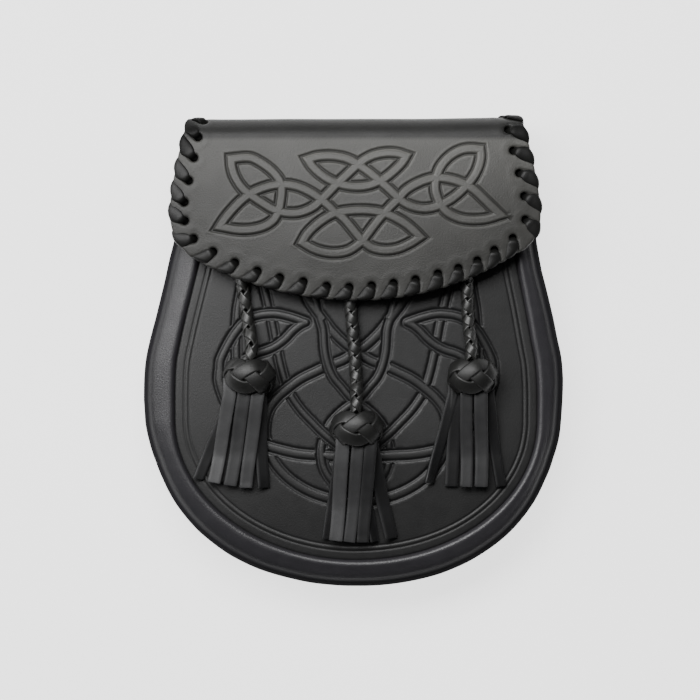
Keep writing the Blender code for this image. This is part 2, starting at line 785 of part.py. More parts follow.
def make_fringe(name, tassel, strips, layer):
    """Strips that are cut side by side out of one piece of leather: fused at the top, fanned at the tips."""
    knot = knot_middle(tassel)
    at_tips, at_knot = layer
    steps = range(FRINGE_STEPS + 1)
    outline = [(strips[-1][0] + strips[-1][3] / 2, FRINGE_TOP), (strips[0][0] - strips[0][3] / 2, FRINGE_TOP)]
    taken = outline[1][0] - FRINGE_SLIT
    for start, tip, tip_y, width in strips:
        left = Vector((max(start - width / 2, taken + FRINGE_SLIT), FRINGE_FORK))
        right = Vector((start + width / 2, FRINGE_FORK))
        slant = FRINGE_SLANT * (tip - start) / (tip_y - FRINGE_FORK)
        left_tip = Vector((tip - width / 2, tip_y))
        right_tip = Vector((tip + width / 2, tip_y - slant))
        outline += [tuple(left.lerp(left_tip, k / FRINGE_STEPS)) for k in steps]
        outline += [tuple(right_tip.lerp(right, k / FRINGE_STEPS)) for k in steps]
        taken = right.x
    inner = [((strips[0][0] + strips[-1][0]) / 2, (FRINGE_TOP + FRINGE_FORK) / 2)]

    def lie(u, v):
        x, y = knot.x + u, knot.y + v
        rest = front_face(x, y) + GAP + STRIP_THICKNESS / 2 + at_tips
        start = 1 - smooth((FRINGE_FORK + FRINGE_SLANT - v) / FRINGE_SETTLE)
        return Vector((x, y, rest + (knot.z + at_knot - rest) * start))

    return cut_and_shape(name, outline, [], inner, lie, STRIP_THICKNESS, "strip_leather", tuple(knot))


def make_tassel(tassel):
    name = f"tassel_{tassel['name']}"
    piece = make_knot(name, knot_middle(tassel), radians(tassel["turn"]))
    combine(piece, make_fringe(f"{name}_front_fringe", tassel, tassel["front_strips"], FRONT_LAYER), "UNION")
    combine(piece, make_fringe(f"{name}_rear_fringe", tassel, tassel["rear_strips"], REAR_LAYER), "UNION")


# ---- Belt sleeve -------------------------------------------------------------------------------------------

def mirrored(points):
    return [(-y, z) for y, z in reversed(points)]


def make_belt_sleeve():
    """A strap sewn to the back along its upper and lower edges; a belt runs through it from side to side."""
    panel = BACK_DISH
    t = SLEEVE_THICKNESS
    inner_top, outer_top = SLEEVE_TUNNEL / 2, SLEEVE_HEIGHT / 2
    half = [
        (outer_top, panel - GAP),
        (outer_top, panel - GAP - t),
        (inner_top + t, panel - GAP - t),
        (inner_top + t, panel - SLEEVE_CLEAR),
        (inner_top + t - SLEEVE_CORNER, panel - SLEEVE_CLEAR - t),
    ]
    inside_half = [
        (inner_top - SLEEVE_CORNER, panel - SLEEVE_CLEAR),
        (inner_top, panel - SLEEVE_CLEAR + SLEEVE_CORNER),
        (inner_top, panel - GAP),
    ]
    section = half + mirrored(half) + mirrored(inside_half) + inside_half
    count = len(section)
    long = SLEEVE_LENGTH / 2
    vertices = [(side * long, SLEEVE_Y + y, z) for side in (-1, 1) for y, z in section]
    faces = [(k, (k + 1) % count, count + (k + 1) % count, count + k) for k in range(count)]
    faces += [tuple(range(count)), tuple(range(2 * count - 1, count - 1, -1))]
    face_outwards(new_piece("belt_sleeve", vertices, faces, "body_leather"))


# ---- The whole sporran -------------------------------------------------------------------------------------

def clear_scene():
    for piece in list(bpy.data.objects):
        bpy.data.objects.remove(piece)


def put_on_origin(empty, names):
    """Moves everything so that the middle of the bottom of the named pieces' box is the origin."""
    corners = [vertex.co for name in names for vertex in bpy.data.objects[name].data.vertices]
    low = [min(corner[axis] for corner in corners) for axis in range(3)]
    high = [max(corner[axis] for corner in corners) for axis in range(3)]
    empty.location = (-(low[0] + high[0]) / 2, -(low[1] + high[1]) / 2, -low[2])


def main():
    clear_scene()
    empty = bpy.data.objects.new("sporran", None)
    bpy.context.scene.collection.objects.link(empty)
    make_back_and_flap()
    make_gusset()
    make_front_panel()
    for tassel in TASSELS:
        make_cord(tassel)
        make_tassel(tassel)
    make_flap_lacing()
    make_belt_sleeve()
    put_on_origin(empty, ("back_and_flap", "gusset", "front_panel", "flap_lacing", "belt_sleeve"))


main()
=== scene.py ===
# %% [markdown]
# # A leather day sporran
#
# A sporran is the pouch that is worn in front of a kilt. This one is all black leather: a tooled flap with
# a whipped lace along its edge, a domed front panel with a tooled knot and border, a soft rolled rim, and
# three braided cords that each end in a woven knot and a fringe of cut strips.
#
# The CAD model is loaded first and stays as it is. Each plain solid is then replaced by a piece with the
# detail of the real one, in the same place.

from math import cos, pi, radians, sin, tau

import bmesh
import bpy
import numpy as np
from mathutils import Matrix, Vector
from mathutils.geometry import delaunay_2d_cdt


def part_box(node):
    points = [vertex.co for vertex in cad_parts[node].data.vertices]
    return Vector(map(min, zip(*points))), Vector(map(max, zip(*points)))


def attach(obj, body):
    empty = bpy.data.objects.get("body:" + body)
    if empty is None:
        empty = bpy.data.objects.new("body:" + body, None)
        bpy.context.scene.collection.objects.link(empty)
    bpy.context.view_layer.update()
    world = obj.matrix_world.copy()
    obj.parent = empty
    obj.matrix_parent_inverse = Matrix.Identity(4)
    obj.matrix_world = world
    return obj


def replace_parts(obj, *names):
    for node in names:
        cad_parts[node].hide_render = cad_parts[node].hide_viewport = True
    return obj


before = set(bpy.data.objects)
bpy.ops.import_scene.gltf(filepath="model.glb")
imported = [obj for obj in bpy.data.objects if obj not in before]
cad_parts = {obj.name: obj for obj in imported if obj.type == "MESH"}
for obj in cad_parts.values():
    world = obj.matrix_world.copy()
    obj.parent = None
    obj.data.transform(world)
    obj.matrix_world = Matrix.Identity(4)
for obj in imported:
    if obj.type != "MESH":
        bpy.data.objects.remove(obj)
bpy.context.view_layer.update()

# %% [markdown]
# ## One set of sizes
#
# The solids were drawn in millimetres, with the middle line of the pouch as x = 0. The same sizes are
# repeated here, so that a piece lies where its solid does. The CAD adds a small shift that puts the whole
# part on its origin, and that is read from the gusset's box.

# %% Sizes
MM = 0.001
GAP = 0.3
WIDTH = 180.0
WIDEST_HEIGHT = -30.3
LOWEST = -102.5
MOUTH_TOP = 88.0
FRONT_TOP = 84.0
SEAM_INSET = 11.5
BACK_INSET = 5.0
ROUND_POWER_LEFT = 2.0
ROUND_POWER_RIGHT = 2.05
PANEL_THICKNESS = 2.5
GUSSET_THICKNESS = 1.8

# The body's outline above its widest height: height, half width on the left, half width on the right.
SIDE_ROWS = (
    (-30.3, 90.0, 90.0),
    (-17.0, 90.0, 90.0),
    (-4.3, 89.4, 89.2),
    (5.6, 87.6, 87.4),
    (19.5, 84.4, 84.9),
    (47.0, 77.5, 79.6),
    (74.0, 70.5, 77.0),
    (100.0, 62.0, 67.0),
)

shift_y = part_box("gusset")[0].y / MM - LOWEST
print("shift of the whole part along y, in mm:", round(shift_y, 3))


def to_world(points):
    """Design millimetres to metres in the part's frame."""
    return (np.asarray(points, float) + (0.0, shift_y, 0.0)) * MM


# %% [markdown]
# ## Reading a place off the photograph
#
# The knot patterns are drawn where the photograph shows them, so their tables are in its pixels: 700 by
# 700, x to the right and y down. One helper turns them into design millimetres.

# %% Pixels to millimetres
PIXEL = WIDTH / 416
MIDDLE_PIXEL = (354.0, 350.0)


def at_pixels(rows):
    """Rows that start with a pixel's x and y, as flat design points."""
    rows = np.asarray(rows, float)
    return np.stack([(rows[:, 0] - MIDDLE_PIXEL[0]) * PIXEL, (MIDDLE_PIXEL[1] - rows[:, 1]) * PIXEL], axis=1)


print("a pixel is", round(PIXEL, 3), "mm")

# %% [markdown]
# ## The camera
#
# The photograph looks straight at the front of the pouch from far away: its sides show no perspective. So
# the camera stands above the lying pouch, looks straight down, and has a long lens.

# %% Camera
CAMERA_DISTANCE = 4.0
FIELD = 700 * PIXEL * MM
FACE_HEIGHT = 0.030
AIM_PIXEL = (350.0, 350.0)
SENSOR = 36.0


def in_scene(name, data):
    thing = bpy.data.objects.new(name, data)
    bpy.context.scene.collection.objects.link(thing)
    return thing


camera_data = bpy.data.cameras.new("camera")
camera = in_scene("camera", camera_data)
aim = to_world([(*at_pixels([AIM_PIXEL])[0], 0.0)])[0]
camera.location = (aim[0], aim[1], FACE_HEIGHT + CAMERA_DISTANCE)
camera_data.sensor_width = SENSOR
camera_data.lens = SENSOR * CAMERA_DISTANCE / FIELD
camera_data.clip_end = 20.0
bpy.context.scene.camera = camera
print("lens, mm:", round(camera_data.lens, 1))

# %% [markdown]
# ## Curves through tables
#
# Leather follows smooth curves, so a few measured rows are joined by a curve that runs through them all.
# The same two rules are used as in the CAD: a cubic between the rows of a table, and a Catmull-Rom curve
# through points. They are written for whole arrays, because a sheet has tens of thousands of points.


# %% Curve helpers
def smooth(t):
    t = np.clip(t, 0.0, 1.0)
    return t * t * (3 - 2 * t)


def read_rows(rows, column, at):
    """A smooth curve through one column of a table, read at values of its first column."""
    rows = np.asarray(rows, float)
    keys, values = rows[:, 0], rows[:, column]
    low = np.maximum(np.arange(len(rows)) - 1, 0)
    high = np.minimum(np.arange(len(rows)) + 1, len(rows) - 1)
    slope = (values[high] - values[low]) / (keys[high] - keys[low])
    at = np.clip(at, keys[0], keys[-1])
    k = np.clip(np.searchsorted(keys, at, side="left") - 1, 0, len(rows) - 2)
    step = keys[k + 1] - keys[k]
    t = (at - keys[k]) / step
    return ((2 * t**3 - 3 * t**2 + 1) * values[k] + (t**3 - 2 * t**2 + t) * slope[k] * step
            + (3 * t**2 - 2 * t**3) * values[k + 1] + (t**3 - t**2) * slope[k + 1] * step)


def smooth_path(points, steps):
    """Points along a Catmull-Rom curve through points, with steps pieces between neighbours."""
    points = np.asarray(points, float)
    ends = np.vstack([2 * points[0] - points[1], points, 2 * points[-1] - points[-2]])
    a, b, c, d = ends[:-3, None], ends[1:-2, None], ends[2:-1, None], ends[3:, None]
    t = (np.arange(steps) / steps)[None, :, None]
    between = 0.5 * (2 * b + (c - a) * t + (2 * a - 5 * b + 4 * c - d) * t**2
                     + (3 * b - a - 3 * c + d) * t**3)
    return np.vstack([between.reshape(-1, points.shape[1]), points[-1:]])


# %% Hills, lengths and steps
def hill(x, middle, width):
    """1 at the middle, falling off smoothly on both sides."""
    return np.exp(-(((x - middle) / width) ** 2))


def lengths_along(path):
    return np.concatenate([[0.0], np.cumsum(np.linalg.norm(np.diff(path, axis=0), axis=1))])


def evenly(path, spacing, closed=False):
    """A path's points moved so that they are evenly spaced, about spacing apart."""
    path = np.vstack([path, path[:1]]) if closed else np.asarray(path)
    run = lengths_along(path)
    count = max(2, round(run[-1] / spacing))
    at = np.linspace(0, run[-1], count + 1)
    even = np.stack([np.interp(at, run, path[:, axis]) for axis in range(path.shape[1])], axis=1)
    return even[:-1] if closed else even


def unit(vectors):
    return vectors / np.maximum(np.linalg.norm(vectors, axis=-1, keepdims=True), 1e-12)


def inset_path(path, inset):
    """A flat path moved to its left."""
    along = unit(np.vstack([path[1:2] - path[:1], path[2:] - path[:-2], path[-1:] - path[-2:-1]]))
    return path + np.stack([-along[:, 1], along[:, 0]], axis=1) * inset


# %% [markdown]
# ## The forms that the leather takes
#
# These functions give the middle of the leather's thickness: the domed front panel, the dished back, the
# flap that rises over the cords, and the fold that joins flap and back. They are the CAD's own forms.

# %% Forms
FRONT_RIM = 27.0
FRONT_DOME = 5.0
BACK_DISH = 6.8
DISH_FLAT = 0.61
DISH_RIM = 0.76
DISH_TOP = (88.0, 69.0)
FOLD_HEIGHT = 92.4
FOLD_RADIUS = 8.0
FLAP_TOP = 35.0
FLAP_RISE = 7.0
FLAP_LOWEST = 21.4
FLAP_LOWEST_X = 2.0
FLAP_LOWER_RADIUS = (150.0, 125.0)
FLAP_DROOP = (2.0, 8.0)
DROOP_WIDTH = 80.0
DROOP_POWER = 2.6


def half_width(side, height):
    """Half the body's width at heights; side is -1 on the left and 1 on the right."""
    left = np.asarray(side) < 0
    above = np.where(left, read_rows(SIDE_ROWS, 1, height), read_rows(SIDE_ROWS, 2, height))
    power = np.where(left, ROUND_POWER_LEFT, ROUND_POWER_RIGHT)
    drop = np.clip((WIDEST_HEIGHT - height) / (WIDEST_HEIGHT - LOWEST), 0, 1)
    return np.where(height >= WIDEST_HEIGHT, above, WIDTH / 2 * (1 - drop**power) ** (1 / power))


def body_outline(top, rows, arcs):
    """The body's outline from its top left, down, round the bottom and up to its top right."""
    heights = top + (WIDEST_HEIGHT - top) * np.arange(rows) / rows
    left = np.stack([-half_width(-np.ones(rows), heights), heights], axis=1)
    right = np.stack([half_width(np.ones(rows), heights), heights], axis=1)[::-1]
    angle = pi * np.arange(arcs + 1) / arcs
    power = np.where(angle < pi / 2, ROUND_POWER_LEFT, ROUND_POWER_RIGHT)
    across = -np.sign(np.cos(angle)) * WIDTH / 2 * np.abs(np.cos(angle)) ** (2 / power)
    down = WIDEST_HEIGHT - (WIDEST_HEIGHT - LOWEST) * np.abs(np.sin(angle)) ** (2 / power)
    return np.vstack([left, np.stack([across, down], axis=1), right])


def reach(x, y, inset):
    """0 on the middle line of the body and 1 at an inset from its outline, below and to the sides."""
    side = np.where(x < 0, -1.0, 1.0)
    beside = np.abs(x) / (half_width(side, np.maximum(y, WIDEST_HEIGHT)) - inset)
    power = np.where(x < 0, ROUND_POWER_LEFT, ROUND_POWER_RIGHT)
    across = np.abs(x) / (WIDTH / 2 - inset)
    down = np.maximum(WIDEST_HEIGHT - y, 0) / (WIDEST_HEIGHT - LOWEST - inset)
    return np.where(y >= WIDEST_HEIGHT, beside, (across**power + down**power) ** (1 / power))


# %% Front, back and flap
def front_height(x, y):
    return FRONT_RIM + FRONT_DOME * np.maximum(0.0, 1 - reach(x, y, SEAM_INSET) ** 2)


def front_face(x, y):
    return front_height(x, y) + PANEL_THICKNESS / 2


def on_the_front(x, y):
    return np.stack([x, y, front_height(x, y)], axis=-1)


def back_height(x, y):
    inward = smooth((DISH_RIM - reach(x, y, BACK_INSET)) / (DISH_RIM - DISH_FLAT))
    below_fold = smooth((DISH_TOP[0] - y) / (DISH_TOP[0] - DISH_TOP[1]))
    return PANEL_THICKNESS / 2 + BACK_DISH * inward * below_fold


def flap_height(x, y):
    t = (FOLD_HEIGHT - y) / (FOLD_HEIGHT - FLAP_LOWEST)
    droop = FLAP_DROOP[0] + (FLAP_DROOP[1] - FLAP_DROOP[0]) * t
    return FLAP_TOP + FLAP_RISE * np.sin(pi / 2 * t) - droop * np.abs(x / DROOP_WIDTH) ** DROOP_POWER


# %% Over the fold
def over_the_fold(x, run):
    """The middle of the leather at a run along it from the fold line: flap below 0, fold and back above."""
    x, run = np.broadcast_arrays(np.asarray(x, float), np.asarray(run, float))
    small = 0.01
    start = flap_height(x, FOLD_HEIGHT)
    tilt = np.arctan((flap_height(x, FOLD_HEIGHT - small) - start) / small)
    bend = FOLD_RADIUS * (pi / 2 - tilt)
    top_y = FOLD_HEIGHT + FOLD_RADIUS * (1 - np.sin(tilt))
    top_from = start - FOLD_RADIUS * np.cos(tilt)
    top_to = FOLD_RADIUS + PANEL_THICKNESS / 2
    turn = tilt + np.clip(run, 0, None) / FOLD_RADIUS
    wall = run - bend
    corner = wall - (top_from - top_to)
    turned = np.clip(corner, 0, None) / FOLD_RADIUS
    back = corner - FOLD_RADIUS * pi / 2
    back_y = top_y - FOLD_RADIUS - back
    parts = [run <= 0, wall <= 0, corner <= 0, back <= 0]
    y = np.select(parts, [FOLD_HEIGHT + run, FOLD_HEIGHT + FOLD_RADIUS * (np.sin(turn) - np.sin(tilt)),
                          top_y, top_y - FOLD_RADIUS * (1 - np.cos(turned))], back_y)
    z = np.select(parts, [flap_height(x, FOLD_HEIGHT + run),
                          start - FOLD_RADIUS * (np.cos(tilt) - np.cos(turn)),
                          top_from - wall, top_to - FOLD_RADIUS * np.sin(turned)], back_height(x, back_y))
    return np.stack([x, y, z], axis=-1)


def facing(surface, u, v):
    """The directions that a surface faces."""
    small = 0.05
    across = surface(u + small, v) - surface(u - small, v)
    along = surface(u, v + small) - surface(u, v - small)
    return unit(np.cross(across, along))


print("front panel's middle stands", round(float(front_face(0.0, 0.0)), 1), "mm high")

# %% [markdown]
# ## A small language for nodes
#
# Node trees are easier to read as formulas. Value wraps one output of a node, and each operator adds the
# Math node that it needs, in a material or in Geometry Nodes alike. Any other node comes from add_node,
# which sets the node's settings first and then its sockets.


# %% Node helpers
def add_node(tree, kind, settings=None, values=None):
    """Adds a node: its settings are set first, then the values or links of its sockets."""
    node = tree.nodes.new(kind)
    for name, setting in (settings or {}).items():
        setattr(node, name, setting)
    for name, value in (values or {}).items():
        if isinstance(value, bpy.types.Node):
            value = Value(tree, value)
        if isinstance(value, Value):
            tree.links.new(value.socket, node.inputs[name])
        else:
            node.inputs[name].default_value = value
    return node


# %% A value that takes operators
class Value:
    """One output of a node, used in expressions."""

    def __init__(self, tree, node, output=0):
        self.tree = tree
        self.socket = node.outputs[output]

    def math(self, operation, *values):
        node = add_node(self.tree, "ShaderNodeMath", {"operation": operation}, dict(enumerate(values)))
        return Value(self.tree, node)

    def cosine(self):
        return self.math("COSINE", self)

    def sine(self):
        return self.math("SINE", self)

    def floor(self):
        return self.math("FLOOR", self)

    def between(self, low, high):
        """0 at low, 1 at high, and a soft step between."""
        node = add_node(self.tree, "ShaderNodeMapRange", {"interpolation_type": "SMOOTHSTEP"},
                        {"Value": self, "From Min": low, "From Max": high})
        return Value(self.tree, node)


def add_operator(name, operation):
    """Gives Value an operator and its reflected form, so that both value - 1 and 1 - value work."""
    setattr(Value, f"__{name}__", lambda value, other: value.math(operation, value, other))
    setattr(Value, f"__r{name}__", lambda value, other: value.math(operation, other, value))


for operator, operation in (("add", "ADD"), ("sub", "SUBTRACT"), ("mul", "MULTIPLY"), ("truediv", "DIVIDE"),
                            ("mod", "FLOORED_MODULO"), ("pow", "POWER")):
    add_operator(operator, operation)


def vector_math(tree, operation, *values):
    names = dict(enumerate(values))
    if operation == "SCALE":
        names = {0: values[0], "Scale": values[1]}
    return Value(tree, add_node(tree, "ShaderNodeVectorMath", {"operation": operation}, names))


def blend_colours(tree, share, first, second):
    node = add_node(tree, "ShaderNodeMix", {"data_type": "RGBA"}, {"Factor": share, 6: first, 7: second})
    return Value(tree, node, 2)


# %% [markdown]
# ## Black leather
#
# All of it is dyed black leather, but each part is worked differently. The tooled panels are cased, pressed
# and rubbed, so they are duller and greyer, with a fine pebbled grain that the tools have flattened. The
# rim is soft leather that was pulled over its core, with streaks along the pull. Laces and cords are cut
# from smooth leather and burnished. One function makes them all from a few numbers: the grain is a fine
# Voronoi relief with pores of noise, and slow noise varies colour and gloss, because dye never takes
# evenly. Down in a hole or under the rim leather has no gloss left, so there a plain matt shader takes
# over. A value on the points pales the leather towards a second colour, where it is rubbed and where light
# or shade is painted in.


# %% Leather
TONE_RANGE = (0.72, 1.25)


def leather(name, colour, wear_and_painted_light, roughness, grain, depth, gleam, pores=0.3, mottle=0.35, streaks=None,
            dull_below=False):
    """A leather: grain is its pebbles' size in mm, depth the relief's in mm, gleam how much it reflects.

    The value on the points that pales the leather is 1 where it is palest: where the dye is rubbed thin, and
    where light or shade is painted in. Below 0 it tells how dull the leather is.
    """
    material = bpy.data.materials.new(name)
    material.use_nodes = True
    tree = material.node_tree
    shader = tree.nodes["Principled BSDF"]
    place = Value(tree, add_node(tree, "ShaderNodeTexCoord"), "Object")

    def noise(size, detail=3.0, rough=0.55, vector=place):
        return Value(tree, add_node(tree, "ShaderNodeTexNoise", {}, {
            "Vector": vector, "Scale": 1 / (size * MM), "Detail": detail, "Roughness": rough}))

    pebbles = Value(tree, add_node(tree, "ShaderNodeTexVoronoi", {"feature": "SMOOTH_F1"},
                                   {"Vector": place, "Scale": 1 / (grain * MM), "Smoothness": 0.6}))
    slow = noise(22.0, 4.0)
    patches = noise(5.5, 4.0)
    fine = noise(0.35, 2.0)
    height = fine * pores - pebbles * (1.0 - pores)
    if streaks:
        along = add_node(tree, "ShaderNodeUVMap", {"uv_map": "UVMap"})
        drawn = add_node(tree, "ShaderNodeMapping", {}, {"Vector": along, "Scale": streaks})
        pulled = noise(1000.0, 5.0, 0.62, drawn)
        height = height + pulled * 1.6
        slow = slow * 0.5 + pulled * 0.5
    bump = add_node(tree, "ShaderNodeBump", {}, {"Height": height, "Strength": 0.9, "Distance": depth * MM})
    tree.links.new(bump.outputs["Normal"], shader.inputs["Normal"])

    tone = (slow * 0.6 + patches * 0.4).between(0.5 - mottle, 0.5 + mottle)
    marked = Value(tree, add_node(tree, "ShaderNodeAttribute", {"attribute_name": "wear_and_painted_light"}), "Fac")
    # How far the leather is paled towards its second colour: by rubbing, and by painted light and shade.
    tooled = marked.math("MAXIMUM", marked, 0.0)
    dark, pale = ([c * share for c in colour] + [1] for share in TONE_RANGE)
    dyed = blend_colours(tree, tone, dark, pale)
    rubbed_and_painted_colour = blend_colours(tree, tooled * (0.55 + tone * 0.45), dyed, (*wear_and_painted_light, 1))
    tree.links.new(rubbed_and_painted_colour.socket, shader.inputs["Base Color"])
    gloss = roughness - tooled * 0.06 + (patches - 0.5) * 0.12 + (fine - 0.5) * 0.12
    tree.links.new(gloss.socket, shader.inputs["Roughness"])
    shader.inputs["Specular IOR Level"].default_value = gleam
    if dull_below:
        flat = add_node(tree, "ShaderNodeBsdfDiffuse", {}, {"Color": (*colour, 1), "Roughness": 1.0})
        dulled = add_node(tree, "ShaderNodeMixShader", {}, {0: marked.between(0.0, -1.0)})
        tree.links.new(shader.outputs["BSDF"], dulled.inputs[1])
        tree.links.new(flat.outputs["BSDF"], dulled.inputs[2])
        tree.links.new(dulled.outputs["Shader"], tree.nodes["Material Output"].inputs["Surface"])
    return material


# %% The leathers
FLAP_LEATHER = leather("tooled_flap_leather", (0.0085, 0.0085, 0.0080), (0.084, 0.0828, 0.0762),
                       0.51, 0.62, 0.085, 0.29, mottle=0.5, dull_below=True)
FRONT_LEATHER = leather("tooled_front_leather", (0.0070, 0.0070, 0.0072), (0.021, 0.021, 0.0205),
                        0.50, 0.62, 0.055, 0.34, mottle=0.7)
ROLL_LEATHER = leather("rim_leather", (0.0091, 0.0086, 0.0103), (0.0250, 0.0238, 0.0270),
                       0.46, 0.60, 0.090, 0.43, mottle=0.6, streaks=(7.0, 340.0, 1.0), dull_below=True)
LACE_LEATHER = leather("thong_leather", (0.0060, 0.0060, 0.0057), (0.024, 0.024, 0.0222),
                       0.46, 0.45, 0.030, 0.22, streaks=(60.0, 500.0, 1.0), dull_below=True)
BRAID_LEATHER = leather("braided_leather", (0.0082, 0.0082, 0.0078), (0.036, 0.036, 0.033),
                        0.45, 0.45, 0.030, 0.33)
CORD_LEATHER = leather("cord_leather", (0.0130, 0.0130, 0.0122), (0.036, 0.036, 0.033),
                       0.41, 0.45, 0.030, 0.52)
STRIP_LEATHER = leather("fringe_leather", (0.0055, 0.0055, 0.0058), (0.060, 0.060, 0.061),
                        0.50, 0.50, 0.035, 0.30)
THREAD = leather("waxed_thread", (0.010, 0.010, 0.010), (0.026, 0.026, 0.026), 0.45, 0.25, 0.020, 0.35)
print("leathers:", [m.name for m in (FLAP_LEATHER, FRONT_LEATHER, ROLL_LEATHER, LACE_LEATHER, BRAID_LEATHER,
                                     CORD_LEATHER, STRIP_LEATHER, THREAD)])

# %% [markdown]
# ## Making a piece
#
# Every piece ends as a plain mesh in metres, with its object at the origin and its place in the mesh. Its
# faces are turned outwards, and a value on its points tells the leather where it is paler: where the dye is
# rubbed thin, and where light or shade is painted in.


# %% Piece helpers
def make_piece(name, points, faces, finish, wear_and_painted_light=None, uv=None, sharp=60):
    """A mesh piece from design millimetres. uv has a row for each point, in metres."""
    mesh = bpy.data.meshes.new(name)
    mesh.from_pydata(to_world(points).tolist(), [], faces)
    shape = bmesh.new()
    shape.from_mesh(mesh)
    bmesh.ops.recalc_face_normals(shape, faces=shape.faces)
    shape.to_mesh(mesh)
    shape.free()
    attribute = mesh.attributes.new("wear_and_painted_light", "FLOAT", "POINT")
    attribute.data.foreach_set("value", np.zeros(len(points)) if wear_and_painted_light is None else np.asarray(wear_and_painted_light, float))
    if uv is not None:
        corners = np.empty(len(mesh.loops), dtype=np.int32)
        mesh.loops.foreach_get("vertex_index", corners)
        mesh.uv_layers.new(name="UVMap").data.foreach_set("uv", np.asarray(uv, float)[corners].ravel())
    mesh.shade_smooth()
    mesh.set_sharp_from_angle(angle=radians(sharp))
    mesh.materials.append(finish)
    return in_scene(name, mesh)


def tube_faces(count, around):
    """Faces of a tube through count rings of as many points each, with capped ends."""
    k, j = np.meshgrid(np.arange(count - 1), np.arange(around), indexing="ij")
    nxt = (j + 1) % around
    here, ahead = k * around, (k + 1) * around
    quads = np.stack([here + j, here + nxt, ahead + nxt, ahead + j], axis=-1)
    return [*quads.reshape(-1, 4).tolist(), list(range(around))[::-1],
            [(count - 1) * around + j for j in range(around)]]


def make_tube(name, rings, finish, wear_and_painted_light=None, uv=None, sharp=60):
    """A piece from rings of points, with capped ends."""
    return make_piece(name, rings.reshape(-1, 3), tube_faces(*rings.shape[:2]), finish, wear_and_painted_light, uv, sharp)


def grid_uv(run, across):
    """Flat places for a tube's points: how far along it and how far round it each lies, in metres."""
    return np.stack(np.broadcast_arrays(run[:, None], across[None]), axis=-1).reshape(-1, 2)


def settle(piece, modifier):
    """Turns what a modifier makes into the piece's own plain mesh."""
    plain = piece.data
    evaluated = piece.evaluated_get(bpy.context.evaluated_depsgraph_get())
    piece.data = bpy.data.meshes.new_from_object(evaluated)
    piece.modifiers.remove(modifier)
    bpy.data.meshes.remove(plain)
    piece.data.name = piece.name


# %% [markdown]
# ## Braids and knots by Geometry Nodes
#
# A round braid of four laces follows a rule: two laces wind one way and two the other, and each goes over
# one crossing and under the next. So Geometry Nodes make it: the cord's way is copied four times, each copy
# is moved out in a direction that turns as it goes along, and a flat lace is swept along it. The in and out
# of the weave is a cosine at twice the turn.


# %% Node group for braided laces
def geometry_group(name, floats, integers=()):
    """An empty Geometry Nodes tree with named inputs, and its input values."""
    kinds = [("Geometry", "Geometry"), *((label, "Float") for label in floats),
             *((label, "Int") for label in integers), ("Finish", "Material")]
    tree = bpy.data.node_groups.new(name, "GeometryNodeTree")
    for label, kind in kinds:
        tree.interface.new_socket(label, in_out="INPUT", socket_type=f"NodeSocket{kind}")
    tree.interface.new_socket("Geometry", in_out="OUTPUT", socket_type="NodeSocketGeometry")
    start = add_node(tree, "NodeGroupInput")
    return tree, {label: Value(tree, start, label) for label, _ in kinds}


def finish_group(tree, geometry, finish):
    """Ends a tree in real, painted geometry."""
    real = add_node(tree, "GeometryNodeRealizeInstances", {}, {"Geometry": geometry})
    painted = add_node(tree, "GeometryNodeSetMaterial", {}, {"Geometry": real, "Material": finish})
    add_node(tree, "NodeGroupOutput", {}, {0: painted})
    return tree


def sweep_lace(tree, curve, outward, width, thickness):
    """Sweeps a flat lace with soft edges along curves, its face turned to outward."""
    turned = add_node(tree, "GeometryNodeSetCurveNormal", {"mode": "FREE"},
                      {"Curve": curve, "Normal": outward})
    flat = add_node(tree, "GeometryNodeCurvePrimitiveQuadrilateral", {},
                    {"Width": thickness, "Height": width})
    soft = add_node(tree, "GeometryNodeFilletCurve", {"mode": "POLY"},
                    {"Curve": flat, "Radius": thickness * 0.46, "Count": 2})
    return add_node(tree, "GeometryNodeCurveToMesh", {},
                    {"Curve": turned, "Profile Curve": soft, "Fill Caps": True})


def keep_outward(tree, geometry, outward):
    """Stores a direction on the points, so that it stays when they are moved."""
    kept = add_node(tree, "GeometryNodeCaptureAttribute", {}, {"Geometry": geometry})
    kept.capture_items.new("VECTOR", "Outward")
    tree.links.new(outward.socket, kept.inputs["Outward"])
    return kept, Value(tree, kept, "Outward")


# %% The braid's tree
def braid_group():
    """Four laces that wind round the way of a cord."""
    floats = ("Pitch", "Radius", "Weave", "Lace Width", "Lace Thickness")
    tree, given = geometry_group("braided_laces", floats, ("Samples",))
    way = add_node(tree, "GeometryNodeMeshToCurve", {}, {"Mesh": given["Geometry"]})
    even = add_node(tree, "GeometryNodeResampleCurve", {}, {"Curve": way, "Count": given["Samples"]})
    copies = add_node(tree, "GeometryNodeDuplicateElements", {"domain": "SPLINE"},
                      {"Geometry": even, "Amount": 4})
    number = Value(tree, copies, "Duplicate Index")
    direction = 1 - 2 * (number % 2)
    phase = (number / 2).floor() * pi
    along = Value(tree, add_node(tree, "GeometryNodeSplineParameter"), "Length")
    turn = along * tau / given["Pitch"]
    angle = direction * turn + phase
    wave = direction * (turn * 2).cosine()
    normal = Value(tree, add_node(tree, "GeometryNodeInputNormal"), "Normal")
    tangent = Value(tree, add_node(tree, "GeometryNodeInputTangent"))
    side = vector_math(tree, "CROSS_PRODUCT", tangent, normal)
    outward = vector_math(tree, "ADD", vector_math(tree, "SCALE", normal, angle.cosine()),
                          vector_math(tree, "SCALE", side, angle.sine()))
    kept, held = keep_outward(tree, copies, outward)
    out = given["Radius"] + given["Weave"] * wave
    moved = add_node(tree, "GeometryNodeSetPosition", {},
                     {"Geometry": kept, "Offset": vector_math(tree, "SCALE", held, out)})
    swept = sweep_lace(tree, moved, held, given["Lace Width"], given["Lace Thickness"])
    return finish_group(tree, swept, given["Finish"])


